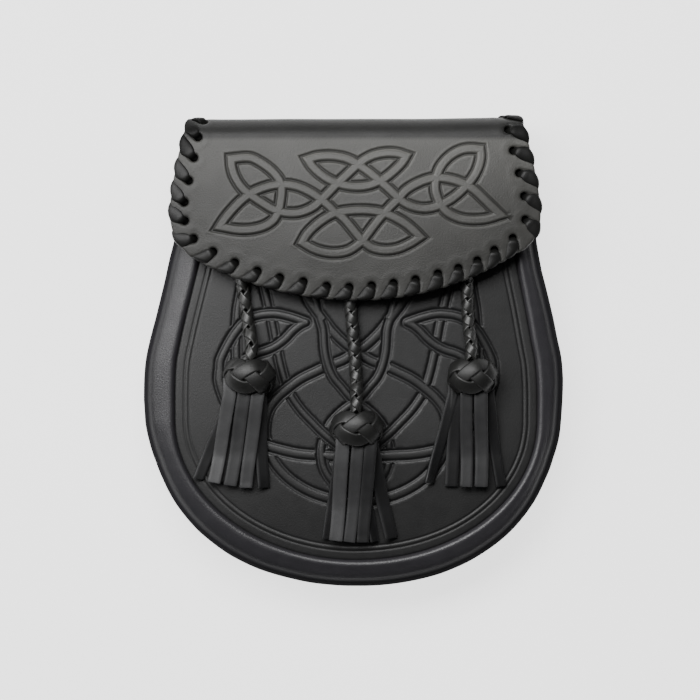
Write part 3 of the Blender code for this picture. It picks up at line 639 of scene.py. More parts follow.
# %% Growing a piece from a tree
def grow(name, points, edges, tree, values):
    """Runs a node tree on points in design mm and gives back the result as a plain mesh piece."""
    mesh = bpy.data.meshes.new(name)
    mesh.from_pydata(to_world(points).tolist(), edges, [])
    piece = in_scene(name, mesh)
    modifier = piece.modifiers.new("nodes", "NODES")
    modifier.node_group = tree
    sockets = {item.name: item.identifier for item in tree.interface.items_tree if item.in_out == "INPUT"}
    for label, value in values.items():
        modifier[sockets[label]] = value
    settle(piece, modifier)
    piece.data.shade_smooth()
    piece.data.set_sharp_from_angle(angle=radians(60))
    print(name, len(piece.data.polygons), "faces")
    return piece


BRAID = braid_group()

# %% [markdown]
# ## The cords
#
# Three braided cords come out of slots in the front panel, under the flap, and hang down to a knot. A cord
# only bends, so it is made along one smooth way: out of its slot, under the flap's edge and along the
# panel, which it lies on. The way is the same as the CAD's.

# %% Cord routes
CORD_DIAMETER = 5.6
CORD_NECK = (6.5, 1.4)
CORD_RISE = (-7.5, -1.4, 2.6)
KNOT_DEPTH = 15.0
KNOT_TOP = 7.4

TASSELS = (
    {"name": "left", "knot": (-45.2, -11.3), "turn": -4.0, "pitch": 16.2,
     "route": ((-51.6, 44.5), (-50.6, 39.5), (-49.6, 34.0), (-47.8, 25.0), (-45.9, 12.0), (-44.6, 1.0)),
     # strips: start x, tip x, tip y, width, layer (1 in front, 0 behind), twist in degrees at the tip, and
     # how pale its face is painted: partly rubbed, and partly painted light, the lit front strips paler than
     # the shaded ones behind
     "strips": ((-7.3, -22.1, -44.2, 5.0, 0, 28, 0.3), (-1.3, -11.7, -45.5, 5.9, 0, 8, 0.1),
                (4.7, 5.9, -48.0, 5.6, 0, 26, 0.0), (-8.4, -15.3, -45.8, 5.9, 1, -9, 1.0),
                (-2.2, -8.1, -47.0, 5.9, 1, -2, 0.50), (3.7, -1.3, -48.0, 5.9, 1, -3, 0.62))},
    {"name": "centre", "knot": (1.3, -33.8), "turn": 1.0, "pitch": 12.6,
     "route": ((-3.4, 43.5), (-3.2, 38.5), (-2.8, 33.0), (-1.4, 18.0), (0.0, 3.0), (0.9, -11.0),
               (1.2, -23.0)),
     "strips": ((-7.0, -13.0, -47.6, 4.6, 0, 22, 0.1), (1.0, 7.2, -48.8, 4.4, 0, 40, 0.0),
                (6.6, 14.6, -47.4, 5.8, 0, 24, 0.0), (-6.2, -9.2, -48.4, 6.2, 1, -6, 0.80),
                (0.4, -3.1, -48.9, 5.4, 1, -3, 0.50), (5.9, 2.7, -49.1, 5.4, 1, 6, 0.16))},
    {"name": "right", "knot": (51.1, -11.3), "turn": 2.0, "pitch": 13.4,
     "route": ((48.5, 44.5), (48.6, 39.5), (48.7, 34.0), (49.0, 24.0), (49.6, 12.0), (50.6, 1.0)),
     "strips": ((-8.2, -18.6, -46.0, 4.8, 0, 42, 0.0), (-6.6, -9.2, -47.4, 5.8, 0, 8, 0.0),
                (7.2, 12.2, -47.4, 4.6, 0, 18, 0.0), (-2.6, -2.7, -47.6, 5.5, 1, -2, 0.38),
                (3.6, 4.0, -47.6, 5.9, 1, 2, 0.44))},
)


def knot_middle(tassel):
    x, y = tassel["knot"]
    return np.array([x, y, float(front_face(x, y)) + GAP + KNOT_DEPTH / 2])


def cord_route(tassel):
    """From inside the pouch, up through the slot, along the front panel and up to the knot."""
    rest = GAP + CORD_DIAMETER / 2
    points = []
    for number, (x, y) in enumerate(tassel["route"]):
        rise = CORD_RISE[number] if number < len(CORD_RISE) else rest
        points.append([x, y, float(front_face(x, y)) + rise])
    knot = knot_middle(tassel)
    turn = radians(tassel["turn"])
    away = np.array([-sin(turn), cos(turn), 0.0])
    before = knot + away * (KNOT_TOP + CORD_NECK[0])
    before[2] = (knot[2] + points[-1][2]) / 2 + CORD_NECK[1]
    points[-1] = before
    points.append(knot + away * (KNOT_TOP + GAP))
    return smooth_path(points, 8)


# %% Braided cords
LACE_SHARE = 0.68
BRAID_LACE_THICKNESS = 1.15
BRAID_WEAVE = 0.38

cords = {}
for tassel in TASSELS:
    way = cord_route(tassel)
    tassel["way"] = way
    radius = CORD_DIAMETER / 2 - BRAID_LACE_THICKNESS / 2 - BRAID_WEAVE
    cords[tassel["name"]] = grow(
        f"{tassel['name']}_braid", way, [(k, k + 1) for k in range(len(way) - 1)], BRAID,
        {"Pitch": tassel["pitch"] * MM, "Radius": radius * MM, "Weave": BRAID_WEAVE * MM,
         "Lace Width": LACE_SHARE * CORD_DIAMETER * MM, "Lace Thickness": BRAID_LACE_THICKNESS * MM,
         "Samples": 150, "Finish": CORD_LEATHER})
    print(tassel["name"], "cord is", round(lengths_along(way)[-1], 1), "mm long")

# %% [markdown]
# ## The woven knots
#
# Each cord ends in a turk's head: one flat lace that winds three times round, with five bights at either
# end, over and under by turns. That is a rule too. Going round by t, the lace moves along the knot as
# cos(5t/3) and in and out as sin(10t/3), so it passes over at one crossing and under at the next. It is
# laid on the CAD's flattened barrel, over a core that fills the knot.


# %% Node group for a turk's head
KNOT_SAMPLES = 260
END_NARROWING = 0.34
END_LEAN = 0.75


def knot_group():
    """One lace that winds three times round a flattened barrel."""
    tree, given = geometry_group("turks_head", (
        "Radius", "Reach", "Flatness", "Weave", "Bights", "Lace Width", "Lace Thickness", "Start"))
    loop = add_node(tree, "GeometryNodeCurvePrimitiveCircle", {"mode": "RADIUS"},
                    {"Resolution": KNOT_SAMPLES, "Radius": given["Radius"]})
    share = Value(tree, add_node(tree, "GeometryNodeSplineParameter"), "Factor")
    round_by = share * (3 * tau)
    bight = round_by * given["Bights"] / 3
    up = bight.cosine()
    narrowing = (1 - up * up * END_NARROWING) ** 0.5
    radius = given["Radius"] * narrowing + given["Weave"] * (bight * 2).sine()
    angle = round_by + given["Start"]
    across, out = angle.cosine(), angle.sine()
    place = add_node(tree, "ShaderNodeCombineXYZ", {}, {
        0: radius * across, 1: given["Reach"] * up, 2: radius * given["Flatness"] * out})
    outward = add_node(tree, "ShaderNodeCombineXYZ", {}, {
        0: across, 1: up * END_LEAN, 2: out / given["Flatness"]})
    kept, held = keep_outward(tree, loop, Value(tree, outward))
    moved = add_node(tree, "GeometryNodeSetPosition", {}, {"Geometry": kept, "Position": place})
    swept = sweep_lace(tree, moved, held, given["Lace Width"], given["Lace Thickness"])
    return finish_group(tree, swept, given["Finish"])


TURKS_HEAD = knot_group()
print("node trees:", BRAID.name, "and", TURKS_HEAD.name)

# %% Knots
KNOT_WIDTH = 21.6
KNOT_LACE = (6.1, 1.6)
KNOT_REACH = 4.9
KNOT_WEAVE = 0.52
KNOT_STARTS = {"left": 1.15, "centre": 0.95, "right": 1.05}
KNOT_SIZES = {"left": 1.05, "centre": 1.05, "right": 1.0}
CORE_INSET = 1.9
CORE_REACH = 6.2
CORE_POWER = 0.75


def knot_core(radius, long, flatness, sides=28, rings=14):
    """The rounded core inside a knot, as points and faces, its axis along y."""
    points, faces = [(0, long, 0)], []
    around = [(cos(tau * k / sides), sin(tau * k / sides)) for k in range(sides)]
    for r in range(1, rings):
        up, out = cos(pi * r / rings), sin(pi * r / rings) ** CORE_POWER
        points += [(radius * out * x, long * up, radius * flatness * out * z) for x, z in around]
    points.append((0, -long, 0))
    last = len(points) - 1
    for k in range(sides):
        nxt = (k + 1) % sides
        faces.append((0, 1 + nxt, 1 + k))
        for start in range(1, last - sides, sides):
            faces.append((start + k, start + nxt, start + sides + nxt, start + sides + k))
        faces.append((last, last - sides + k, last - sides + nxt))
    return np.array(points), faces


# %% Putting a knot in place
def place_knot(points, tassel):
    """Knot points, drawn round the origin, turned and moved to a tassel."""
    turn = radians(tassel["turn"])
    points = points * (KNOT_SIZES[tassel["name"]], 1, 1)
    turned = np.stack([points[:, 0] * cos(turn) - points[:, 1] * sin(turn),
                       points[:, 0] * sin(turn) + points[:, 1] * cos(turn), points[:, 2]], axis=1)
    return turned + knot_middle(tassel)


def join(pieces):
    """Joins meshes into the first piece."""
    with bpy.context.temp_override(active_object=pieces[0], selected_editable_objects=pieces):
        bpy.ops.object.join()
    return pieces[0]


knots = {}
flat_share = KNOT_DEPTH / KNOT_WIDTH
for tassel in TASSELS:
    name = tassel["name"]
    woven = grow(f"{name}_knot", [(0, 0, 0)], [], TURKS_HEAD,
                 {"Radius": (KNOT_WIDTH / 2 - KNOT_LACE[1] / 2 - KNOT_WEAVE + 0.2) * MM,
                  "Reach": KNOT_REACH * MM, "Flatness": flat_share, "Weave": KNOT_WEAVE * MM, "Bights": 5.0,
                  "Lace Width": KNOT_LACE[0] * MM, "Lace Thickness": KNOT_LACE[1] * MM,
                  "Start": KNOT_STARTS[name], "Finish": BRAID_LEATHER})
    drawn = np.empty(len(woven.data.vertices) * 3)
    woven.data.vertices.foreach_get("co", drawn)
    placed = to_world(place_knot(drawn.reshape(-1, 3) / MM, tassel))
    woven.data.vertices.foreach_set("co", placed.ravel())
    points, faces = knot_core(KNOT_WIDTH / 2 - CORE_INSET, CORE_REACH, flat_share)
    core = make_piece(f"{name}_knot_core", place_knot(points, tassel), faces, BRAID_LEATHER)
    knots[name] = join([woven, core])

# %% [markdown]
# ## The fringes
#
# Below its knot each tassel is a fringe: strips about 6 mm wide, cut from one piece of leather, that fan
# out and lie in two layers on the panel. The strips lie where the photograph shows them. Each is a piece of
# leather of its own, with soft cut edges and a slight hollow, and it turns a little towards its tip, as
# hanging leather does.

# %% Fringes
STRIP_THICKNESS = 1.6
FRINGE_TOP = -1.0
FRINGE_FORK = -7.6
FRINGE_SETTLE = 30.0
FRINGE_SLANT = 2.0
LAYER_HEIGHT = {1: (2.3, 1.8), 0: (0.0, -2.6)}
STRIP_SECTION = ((-1.0, 0.10), (-0.97, 0.34), (-0.86, 0.50), (-0.5, 0.47), (0.0, 0.44), (0.5, 0.47),
                 (0.86, 0.50), (0.97, 0.34), (1.0, 0.10), (1.0, -0.12), (0.97, -0.36), (0.86, -0.50),
                 (0.0, -0.54), (-0.86, -0.50), (-0.97, -0.36), (-1.0, -0.12))
STRIP_RINGS = 44


def strip_points(tassel, strip, number):
    """One strip: rings of points from inside the knot to the cut tip."""
    start, tip, tip_y, width, layer, twist, _ = strip
    knot = knot_middle(tassel)
    section = np.array(STRIP_SECTION)
    share = np.linspace(0, 1, STRIP_RINGS)
    v = FRINGE_TOP + (tip_y - FRINGE_TOP) * share
    below = np.clip((v - FRINGE_FORK) / (tip_y - FRINGE_FORK), 0, 1)
    sway = 0.5 * np.sin(pi * below) * sin(2.1 * number + 0.7) + 0.25 * np.sin(tau * below + number)
    u = start + (tip - start) * below + sway * below
    x, y = knot[0] + u, knot[1] + v
    at_tips, at_knot = LAYER_HEIGHT[layer]
    rest = front_face(x, y) + GAP + STRIP_THICKNESS / 2 + at_tips
    early = 1 - smooth((FRINGE_FORK + FRINGE_SLANT - v) / FRINGE_SETTLE)
    lift = 0.45 * np.sin(pi * below * 1.5 + number) * below * layer
    z = rest + (knot[2] + at_knot - rest) * early + np.abs(lift)
    middle = np.stack([x, y, z], axis=1)
    along = unit(np.gradient(middle, axis=0))
    turn = np.radians(twist) * below**1.6
    flat = unit(np.cross(along, np.array([0.0, 0.0, 1.0])))
    up = unit(np.cross(flat, along))
    side = flat * np.cos(turn)[:, None] + up * np.sin(turn)[:, None]
    face = unit(np.cross(side, along))
    raised = np.abs(np.sin(turn)) * width / 2 * 0.55
    middle[:, 2] += raised * (1 if layer == 0 else 0.5)
    half = width / 2 * (1 + 0.03 * (1 - below)) - 0.03
    skew = (tip - start) / (tip_y - FRINGE_FORK) * FRINGE_SLANT * below
    rings = (middle[:, None] + side[:, None] * section[None, :, :1] * half[:, None, None]
             + face[:, None] * section[None, :, 1:] * STRIP_THICKNESS)
    slant = (skew / width * half * np.sign(along[:, 1]))[:, None, None]
    return rings - along[:, None] * section[None, :, :1] * slant


# %% One tassel's strips
def make_strips(tassel):
    points, faces, wear_and_painted_light, uv, start = [], [], [], [], 0
    section = np.array(STRIP_SECTION)
    edge = np.clip((np.abs(section[:, 0]) - 0.80) / 0.2, 0, 1) * (section[:, 1] > 0)
    face = (section[:, 1] > 0.4) * 1.0
    for number, strip in enumerate(tassel["strips"]):
        rings = strip_points(tassel, strip, number)
        tip = rings[-1].mean(axis=0)
        inward = unit((rings[-2] - rings[-1]).mean(axis=0))
        rings = np.concatenate([rings, (rings[-1] * 0.93 + tip * 0.07 - inward * 0.22)[None]])
        points.append(rings.reshape(-1, 3))
        faces += [[start + i for i in face] for face in tube_faces(*rings.shape[:2])]
        # Cut edges a little paler, and each strip's face as pale as its table says: partly rubbed, partly
        # painted light.
        wear_and_painted_light.append(np.broadcast_to(np.maximum(edge * 0.40, face * strip[-1]), rings.shape[:2]).ravel())
        run = np.arange(len(rings)) * 1.1 * MM
        uv.append(grid_uv(run, section[:, 0] * 3 * MM + 0.05 * number))
        start += rings.shape[0] * rings.shape[1]
    return make_piece(f"{tassel['name']}_strips", np.vstack(points), faces, STRIP_LEATHER,
                      np.concatenate(wear_and_painted_light), np.vstack(uv), sharp=50)


# %% Tassels in place
strips = {tassel["name"]: make_strips(tassel) for tassel in TASSELS}
print("strips:", {tassel["name"]: len(tassel["strips"]) for tassel in TASSELS})
for tassel in TASSELS:
    name = tassel["name"]
    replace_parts(cords[name], f"tassel_cord_{name}")
    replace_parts(strips[name], f"tassel_{name}")
    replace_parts(knots[name], f"tassel_{name}")
    way = to_world(tassel["way"])
    for piece, slot in ((cords[name], "braid_leather"), (knots[name], "strip_leather"),
                        (strips[name], "strip_leather")):
        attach(piece, "root")

# %% [markdown]
# ## Cutting and shaping a sheet of leather
#
# The panels are cut flat and then formed, so that is how they are made here. A panel's outline, its holes
# and many points inside it are joined into triangles while it is flat, with small triangles only where
# tooling needs them. Then it is laid on its form and given a face, a back and a cut edge that is rounded as
# a burnished edge is. Tooling is a height that is added to the face.


# %% Sheet helpers
HOLE_REACH = 12
ROW_STEP = 0.866


def nearest(points, path):
    """How far flat points are from a path, where along it, and the way from the path to each point."""
    best = np.full(len(points), 1e9)
    at = np.zeros(len(points))
    way = np.zeros((len(points), 2))
    for k, (start, run) in enumerate(zip(path[:-1], np.diff(path, axis=0))):
        away = points - start
        t = np.clip(away @ run / (run @ run), 0, 1)
        away = away - t[:, None] * run
        gap = np.hypot(away[:, 0], away[:, 1])
        closer = gap < best
        best[closer] = gap[closer]
        at[closer] = k + t[closer]
        way[closer] = away[closer]
    return best, at, way


def loop_gap(points, loop):
    """How far flat points are from a closed loop."""
    return nearest(points, np.vstack([loop, loop[:1]]))[0]


def from_hole(points, hole):
    """A quick measure of how far flat points are from a hole's middle."""
    return np.abs(points - hole.mean(axis=0)).max(axis=1)


def inside(points, loop):
    """Which flat points are inside a closed loop."""
    found = np.zeros(len(points), bool)
    x, y = points[:, 0], points[:, 1]
    for (ax, ay), (bx, by) in zip(loop, np.roll(loop, -1, axis=0)):
        if ay != by:
            found ^= ((ay > y) != (by > y)) & (x < ax + (y - ay) * (bx - ax) / (by - ay))
    return found


def lattice(low, high, step):
    """Flat points in rows, every other row moved by half a step."""
    rows = np.arange(low[1], high[1], step * ROW_STEP)
    x, y = np.meshgrid(np.arange(low[0], high[0], step), rows)
    return np.stack([(x + (np.arange(len(rows)) % 2)[:, None] * step / 2).ravel(), y.ravel()], axis=1)


# %% Cutting into triangles
def offset_loop(loop, inset):
    """A closed flat loop moved to its left."""
    along = unit(np.roll(loop, -1, axis=0) - np.roll(loop, 1, axis=0))
    return loop + np.stack([-along[:, 1], along[:, 0]], axis=1) * inset


def triangulate(loops, inner):
    """Triangles between loops and inner points; loops[0] is the outline and the others are holes."""
    points = np.vstack([*loops, inner])
    edges, start = [], 0
    for loop in loops:
        edges += [(start + k, start + (k + 1) % len(loop)) for k in range(len(loop))]
        start += len(loop)
    flat, _, faces, *_ = delaunay_2d_cdt([Vector(p) for p in points.tolist()], edges, [], 1, 1e-6)
    flat, faces = np.array([p[:] for p in flat]), np.array(faces)
    middle = flat[faces].mean(axis=1)
    kept = np.ones(len(faces), bool)
    for hole in loops[1:]:
        near = from_hole(middle, hole) < HOLE_REACH
        kept[near] &= ~inside(middle[near], hole)
    faces = faces[kept]
    a, b, c = (flat[faces[:, k]] for k in range(3))
    turned = (b[:, 0] - a[:, 0]) * (c[:, 1] - a[:, 1]) < (b[:, 1] - a[:, 1]) * (c[:, 0] - a[:, 0])
    faces[turned] = faces[turned][:, ::-1]
    return flat, faces


# %% Forming a sheet
EDGE_ROUND = 0.9
HOLE_ROUND = 0.5
EDGE_RINGS = (0.15, 0.4, 0.9)
HOLE_RINGS = (0.12, 0.5)
# How far from the outline and from a hole the inner points keep, and the plain back's points.
EDGE_MARGIN = 1.15
HOLE_MARGIN = 0.65
BACK_MARGIN = 1.5


def eased(gap, radius):
    """How far a rounded edge drops below the face, at a distance from the edge."""
    return radius - np.sqrt(radius**2 - (radius - np.minimum(gap, radius)) ** 2)


def off_surface(surface, places, height):
    """Points over flat places, at a height above the middle of the leather."""
    u, v = places.T
    return surface(u, v) + facing(surface, u, v) * np.atleast_1d(height)[:, None]


def shape_sheet(name, outline, holes, inner, back_inner, surface, relief, finish):
    """A formed sheet of leather: relief(points) gives the height of its tooling and where it is paler, from
    rubbing and from painted light.
    """
    loops = [outline, *holes]
    rings = [offset_loop(outline, inset) for inset in EDGE_RINGS]
    rings += [offset_loop(hole, -outset) for hole in holes for outset in HOLE_RINGS]
    keep = inside(inner, outline) & (loop_gap(inner, outline) > EDGE_MARGIN)
    back_keep = inside(back_inner, outline) & (loop_gap(back_inner, outline) > BACK_MARGIN)
    for hole in holes:
        near = from_hole(inner, hole) < HOLE_REACH
        keep[near] &= ~inside(inner[near], hole) & (loop_gap(inner[near], hole) > HOLE_MARGIN)
        back_keep &= from_hole(back_inner, hole) > np.ptp(hole, axis=0).max() / 2 + 1
    flat, faces = triangulate(loops, np.vstack([*rings, inner[keep]]))
    back_flat, back_faces = triangulate(loops, back_inner[back_keep])

    drop = eased(loop_gap(flat, outline), EDGE_ROUND)
    for hole in holes:
        near = np.flatnonzero(from_hole(flat, hole) < HOLE_REACH)
        drop[near] = np.maximum(drop[near], eased(loop_gap(flat[near], hole), HOLE_ROUND))
    height, wear_and_painted_light = relief(flat)
    front = off_surface(surface, flat, PANEL_THICKNESS / 2 + (height - drop))
    behind = off_surface(surface, back_flat, -PANEL_THICKNESS / 2)
    count, start, sides = len(flat), 0, []
    for number, loop in enumerate(loops):
        for k in range(len(loop)):
            a, b = start + k, start + (k + 1) % len(loop)
            quad = [b, a, count + a, count + b]
            sides.append(quad if number == 0 else quad[::-1])
        start += len(loop)
    assert np.allclose(flat[:start], back_flat[:start])
    faces = faces.tolist() + (back_faces[:, ::-1] + count).tolist() + sides
    wear_and_painted_light = np.concatenate([wear_and_painted_light, np.zeros(len(back_flat))])
    print(name, len(faces), "faces")
    return make_piece(name, np.vstack([front, behind]), faces, finish, wear_and_painted_light, sharp=75)


def waves(points, seed, size, height):
    """Slow unevenness: leather is never quite flat."""
    chance = np.random.default_rng(seed)
    total = np.zeros(len(points))
    for _ in range(6):
        angle, length, phase = chance.uniform(0, tau), size * chance.uniform(0.7, 1.5), chance.uniform(0, tau)
        total += np.sin((points @ (cos(angle), sin(angle))) * tau / length + phase)
    return total * height / 6


# %% [markdown]
# ## The front panel's knot
#
# The pattern on the front is interlaced: two loops, a ring, a band that runs across, two long diagonals and
# two leaves. Each is one strand. A tool pressed a groove along both sides of it, and where two strands
# cross, the grooves of the upper one run on and cut off those of the lower one. So a strand is a smooth
# curve through the places that the photograph shows, with a level, and at each point of the leather the
# highest strand near by decides the height.

# %% Front pattern
# Each row: pixel x, pixel y, level. Levels above 1 pass over and those below 1 pass under.
FRONT_HALF_STRANDS = {
    "loop": ((314, 290, 1), (316, 302, 1), (320, 318, 1), (323.5, 330, 1), (325, 350, 1.2),
             (328.5, 366, 2), (334, 378, 1.2), (341.5, 387, 1), (350, 397, 1), (356.5, 402, 1),
             (370, 412, 1), (381, 424, 1.2), (387, 438, 1), (389.5, 452, 0.4), (387, 468, 1),
             (378, 482, 1), (366, 491, 1), (356.5, 494, 1)),
    "diagonal": ((262, 275, 1), (265, 290, 1), (268, 303, 1), (273, 325, 1), (277.5, 350, 0.6),
                 (282.5, 372, 0.8), (289, 392, 0.2), (300, 409, 1), (313, 423, 1), (324, 434, 1.6),
                 (340, 447, 1), (352, 456, 1)),
    "leaf": ((220, 372, 1), (221, 360, 1), (228, 345, 1), (236, 332, 1.6), (246, 321, 0.6), (258, 315.5, 1),
             (275, 314, 1.6), (290, 317, 1), (306, 322.5, 1)),
    "leaf_back": ((306, 322.5, 1), (300, 325.5, 1), (293, 331, 1), (286, 338.5, 1), (277, 345.5, 1.6),
                  (268, 350, 1), (256, 354, 1), (245, 360, 1)),
    "upright": ((244, 278, 1), (241.5, 290, 1), (238, 310, 1), (236.6, 330, 0.5), (236.6, 345, 1),
                (237, 366, 1)),
}
FRONT_WHOLE_STRANDS = {
    "band": ((220, 372, 1), (220, 382, 1), (226, 400, 1), (238, 420, 1), (254, 438.5, 1),
             (266, 445.5, 1.6), (285, 451, 1), (300, 454, 1), (318, 455.5, 0.3), (338, 456.5, 1),
             (357, 457, 1), (376, 456.5, 1), (391, 455.5, 1.6), (412, 454.5, 1), (428, 452, 1),
             (443, 448, 0.4), (457, 441, 1), (472, 424, 1), (485, 402, 1), (492, 382, 1), (492, 372, 1)),
}
RING_MIDDLE = (356.5, 430.0)
RING_RADII = (92.0, 71.5)
RING_STEPS = 12
RING_LEVELS = (0.4, *[1.0] * (RING_STEPS - 3), 1.6)
RING_TOP = ((414, 274, 1), (408, 290, 1), (402, 303, 1), (391, 318, 1), (381, 331, 0.6), (369, 343, 1),
            (356.5, 352, 1.6), (342, 361, 1), (328, 366, 0.3), (315, 372, 1), (301, 379, 1),
            (288.5, 388, 1.5), (277, 398, 1), (268, 411, 1))
# Where the other side's level isn't the mirrored one: pixel y and level.
RING_OTHER_LEVELS = {352: 0.4, 388: 0.4}
MIRROR_PIXEL = 356.5
LOOP_MIRROR_PIXEL = 355.6
# Half of a strand's top, in mm, how far it rises, and the groove beside it.
STRAND_TOPS = {"ring": 1.20, "band": 1.20, "loop": 0.85, "diagonal": 0.85, "leaf": 1.0, "leaf_back": 1.0,
               "upright": 0.85}
STRAND_RISE = 0.12
GROOVE = 2.0
FRONT_GROOVE_DEPTH = 0.62


# %% Front strands
def mirror_rows(rows, middle=MIRROR_PIXEL):
    return tuple((2 * middle - x, y, level) for x, y, level in rows)


def ring_rows():
    """The ring comes in from the top right, goes round below and leaves at the top left."""
    x, y = RING_MIDDLE
    wide, long = RING_RADII
    angles = [pi * k / RING_STEPS for k in range(1, RING_STEPS)]
    below = [(x - wide * cos(angle), y + long * sin(angle), level)
             for angle, level in zip(angles, RING_LEVELS)]
    right = [(px, py, RING_OTHER_LEVELS.get(py, level)) for px, py, level in mirror_rows(RING_TOP)]
    return [*RING_TOP, (x - wide, y, 1.0), *below, (x + wide, y, 1.0), *right[::-1]]


def strand(rows, spacing=0.9):
    """A table's smooth curve in design millimetres, with its level as a third column."""
    rows = np.asarray(rows, float)
    return evenly(smooth_path(np.column_stack([at_pixels(rows), rows[:, 2]]), 8), spacing)


front_strands = [(strand(ring_rows()), STRAND_TOPS["ring"])]
front_strands += [(strand(rows), STRAND_TOPS[name]) for name, rows in FRONT_WHOLE_STRANDS.items()]
for name, rows in FRONT_HALF_STRANDS.items():
    middle = LOOP_MIRROR_PIXEL if name == "loop" else MIRROR_PIXEL
    front_strands += [(strand(way), STRAND_TOPS[name]) for way in (rows, mirror_rows(rows, middle))]
PANEL_SHIFT = (0.9, 0.0)
front_outline = evenly(inset_path(body_outline(FRONT_TOP, 40, 160), SEAM_INSET), 1.0) + PANEL_SHIFT
strands_long = sum(lengths_along(path[:, :2])[-1] for path, _ in front_strands)
print(len(front_strands), "strands,", round(strands_long), "mm long")

# %% Front tooling
# The border lines: how far inside the edge and how wide each is, and the same for the swelling between
# them.
BORDER = ((4.15, 0.42), (6.25, 0.36))
BORDER_DEPTH = 0.27
BORDER_SWELL = (5.2, 0.6)
SWELL_HEIGHT = 0.10
FLAP_COVERS = 3.0
PLAIN_LEATHER = 0.004


def flap_line(x):
    """How far down the flap reaches at each x, at design places."""
    radius = np.where(x < FLAP_LOWEST_X, *FLAP_LOWER_RADIUS)
    return FLAP_LOWEST + radius - np.sqrt(radius**2 - (x - FLAP_LOWEST_X) ** 2)


def seen_below_flap(points, more=0.0):
    return points[:, 1] < flap_line(points[:, 0]) + FLAP_COVERS + more


def front_pattern(points):
    """Height of the interlace: 0 on plain leather, down in a groove, a little up on a strand."""
    height = np.zeros(len(points))
    top = np.full(len(points), -1.0)
    rim = np.full(len(points), 1e9)
    for path, half in front_strands:
        low, high = path[:, :2].min(axis=0) - 5, path[:, :2].max(axis=0) + 5
        near = np.flatnonzero(((points > low) & (points < high)).all(axis=1))
        gap, at, _ = nearest(points[near], path[:, :2])
        level = np.interp(at, np.arange(len(path)), path[:, 2])
        over = level > top[near] + 0.05
        beside = (np.abs(level - top[near]) <= 0.05) & (gap - half < rim[near])
        wins = (gap < half + GROOVE) & (over | beside)
        near, gap = near[wins], gap[wins]
        top[near] = level[wins]
        rim[near] = gap - half
        across = np.clip((gap - half - GROOVE / 2) / (GROOVE / 2), -1, 1)
        height[near] = (STRAND_RISE * np.clip(1 - (gap / half) ** 2, 0, 1)
                        - FRONT_GROOVE_DEPTH * (1 - across**2) ** 1.5)
    return height


# %% Front relief
def front_relief(points):
    depth = nearest(points, front_outline)[0]
    height = front_pattern(points) * smooth((flap_line(points[:, 0]) + FLAP_COVERS + 3 - points[:, 1]) / 3)
    groove = np.zeros(len(points))
    for inset, width in BORDER:
        groove += BORDER_DEPTH * hill(depth, inset, width)
    height = height - groove + SWELL_HEIGHT * hill(depth, *BORDER_SWELL)
    # Grooves are painted darker and the strands' tops paler: partly dye and rubbing, partly painted shade in
    # the grooves and a painted highlight on the strands.
    wear_and_painted_light = np.clip(0.30 + height * 0.9, 0, 1) + 0.40 * np.clip(height * 6, 0, 1)
    return height + waves(points, 5, 60.0, 0.25), wear_and_painted_light


fine = lattice((-80, -92), (80, 46), 0.34)
fine = fine[inside(fine, front_outline) & seen_below_flap(fine)]
busy = (np.abs(front_pattern(fine)) > PLAIN_LEATHER) & (nearest(fine, front_outline)[0] > 6.9)
plain = lattice((-80, -92), (80, 46), 0.95)
plain = plain[seen_below_flap(plain)]
depth = nearest(plain, front_outline)[0]
off_pattern = ~(np.abs(front_pattern(plain)) > PLAIN_LEATHER) & ((depth < 3.0) | (depth > 7.4))
under_flap = lattice((-80, 0), (80, FRONT_TOP), 2.4)
under_flap = under_flap[~seen_below_flap(under_flap, 0.8)]
border_rings = [offset_loop(front_outline, inset) for inset in np.arange(3.2, 7.2, 0.33)]
inner = np.vstack([fine[busy], plain[off_pattern], under_flap, *border_rings])


# %% Front panel
SLOT_RADIUS = 3.5
SLOT_STRAIGHT = 4.0
SLOT_POINTS = 20


def slot_loop(start, end):
    """A flat loop with round ends, where a cord comes through the front panel."""
    start, end = np.array(start), np.array(end)
    middle, along = (start + end) / 2, unit(end - start)
    across = np.array([-along[1], along[0]])
    points = []
    for k in range(SLOT_POINTS):
        angle = tau * (k + 0.5) / SLOT_POINTS
        ahead = cos(angle) * SLOT_RADIUS + (SLOT_STRAIGHT if cos(angle) > 0 else -SLOT_STRAIGHT)
        points.append(middle + along * ahead + across * sin(angle) * SLOT_RADIUS)
    return np.array(points)


slots = [slot_loop(t["route"][0], t["route"][2]) for t in TASSELS]
back_points = lattice((-80, -92), (80, FRONT_TOP), 6.0)
front_panel = shape_sheet("tooled_front_panel", front_outline, slots, inner, back_points,
                          on_the_front, front_relief, FRONT_LEATHER)
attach(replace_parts(front_panel, "front_panel"), "root")
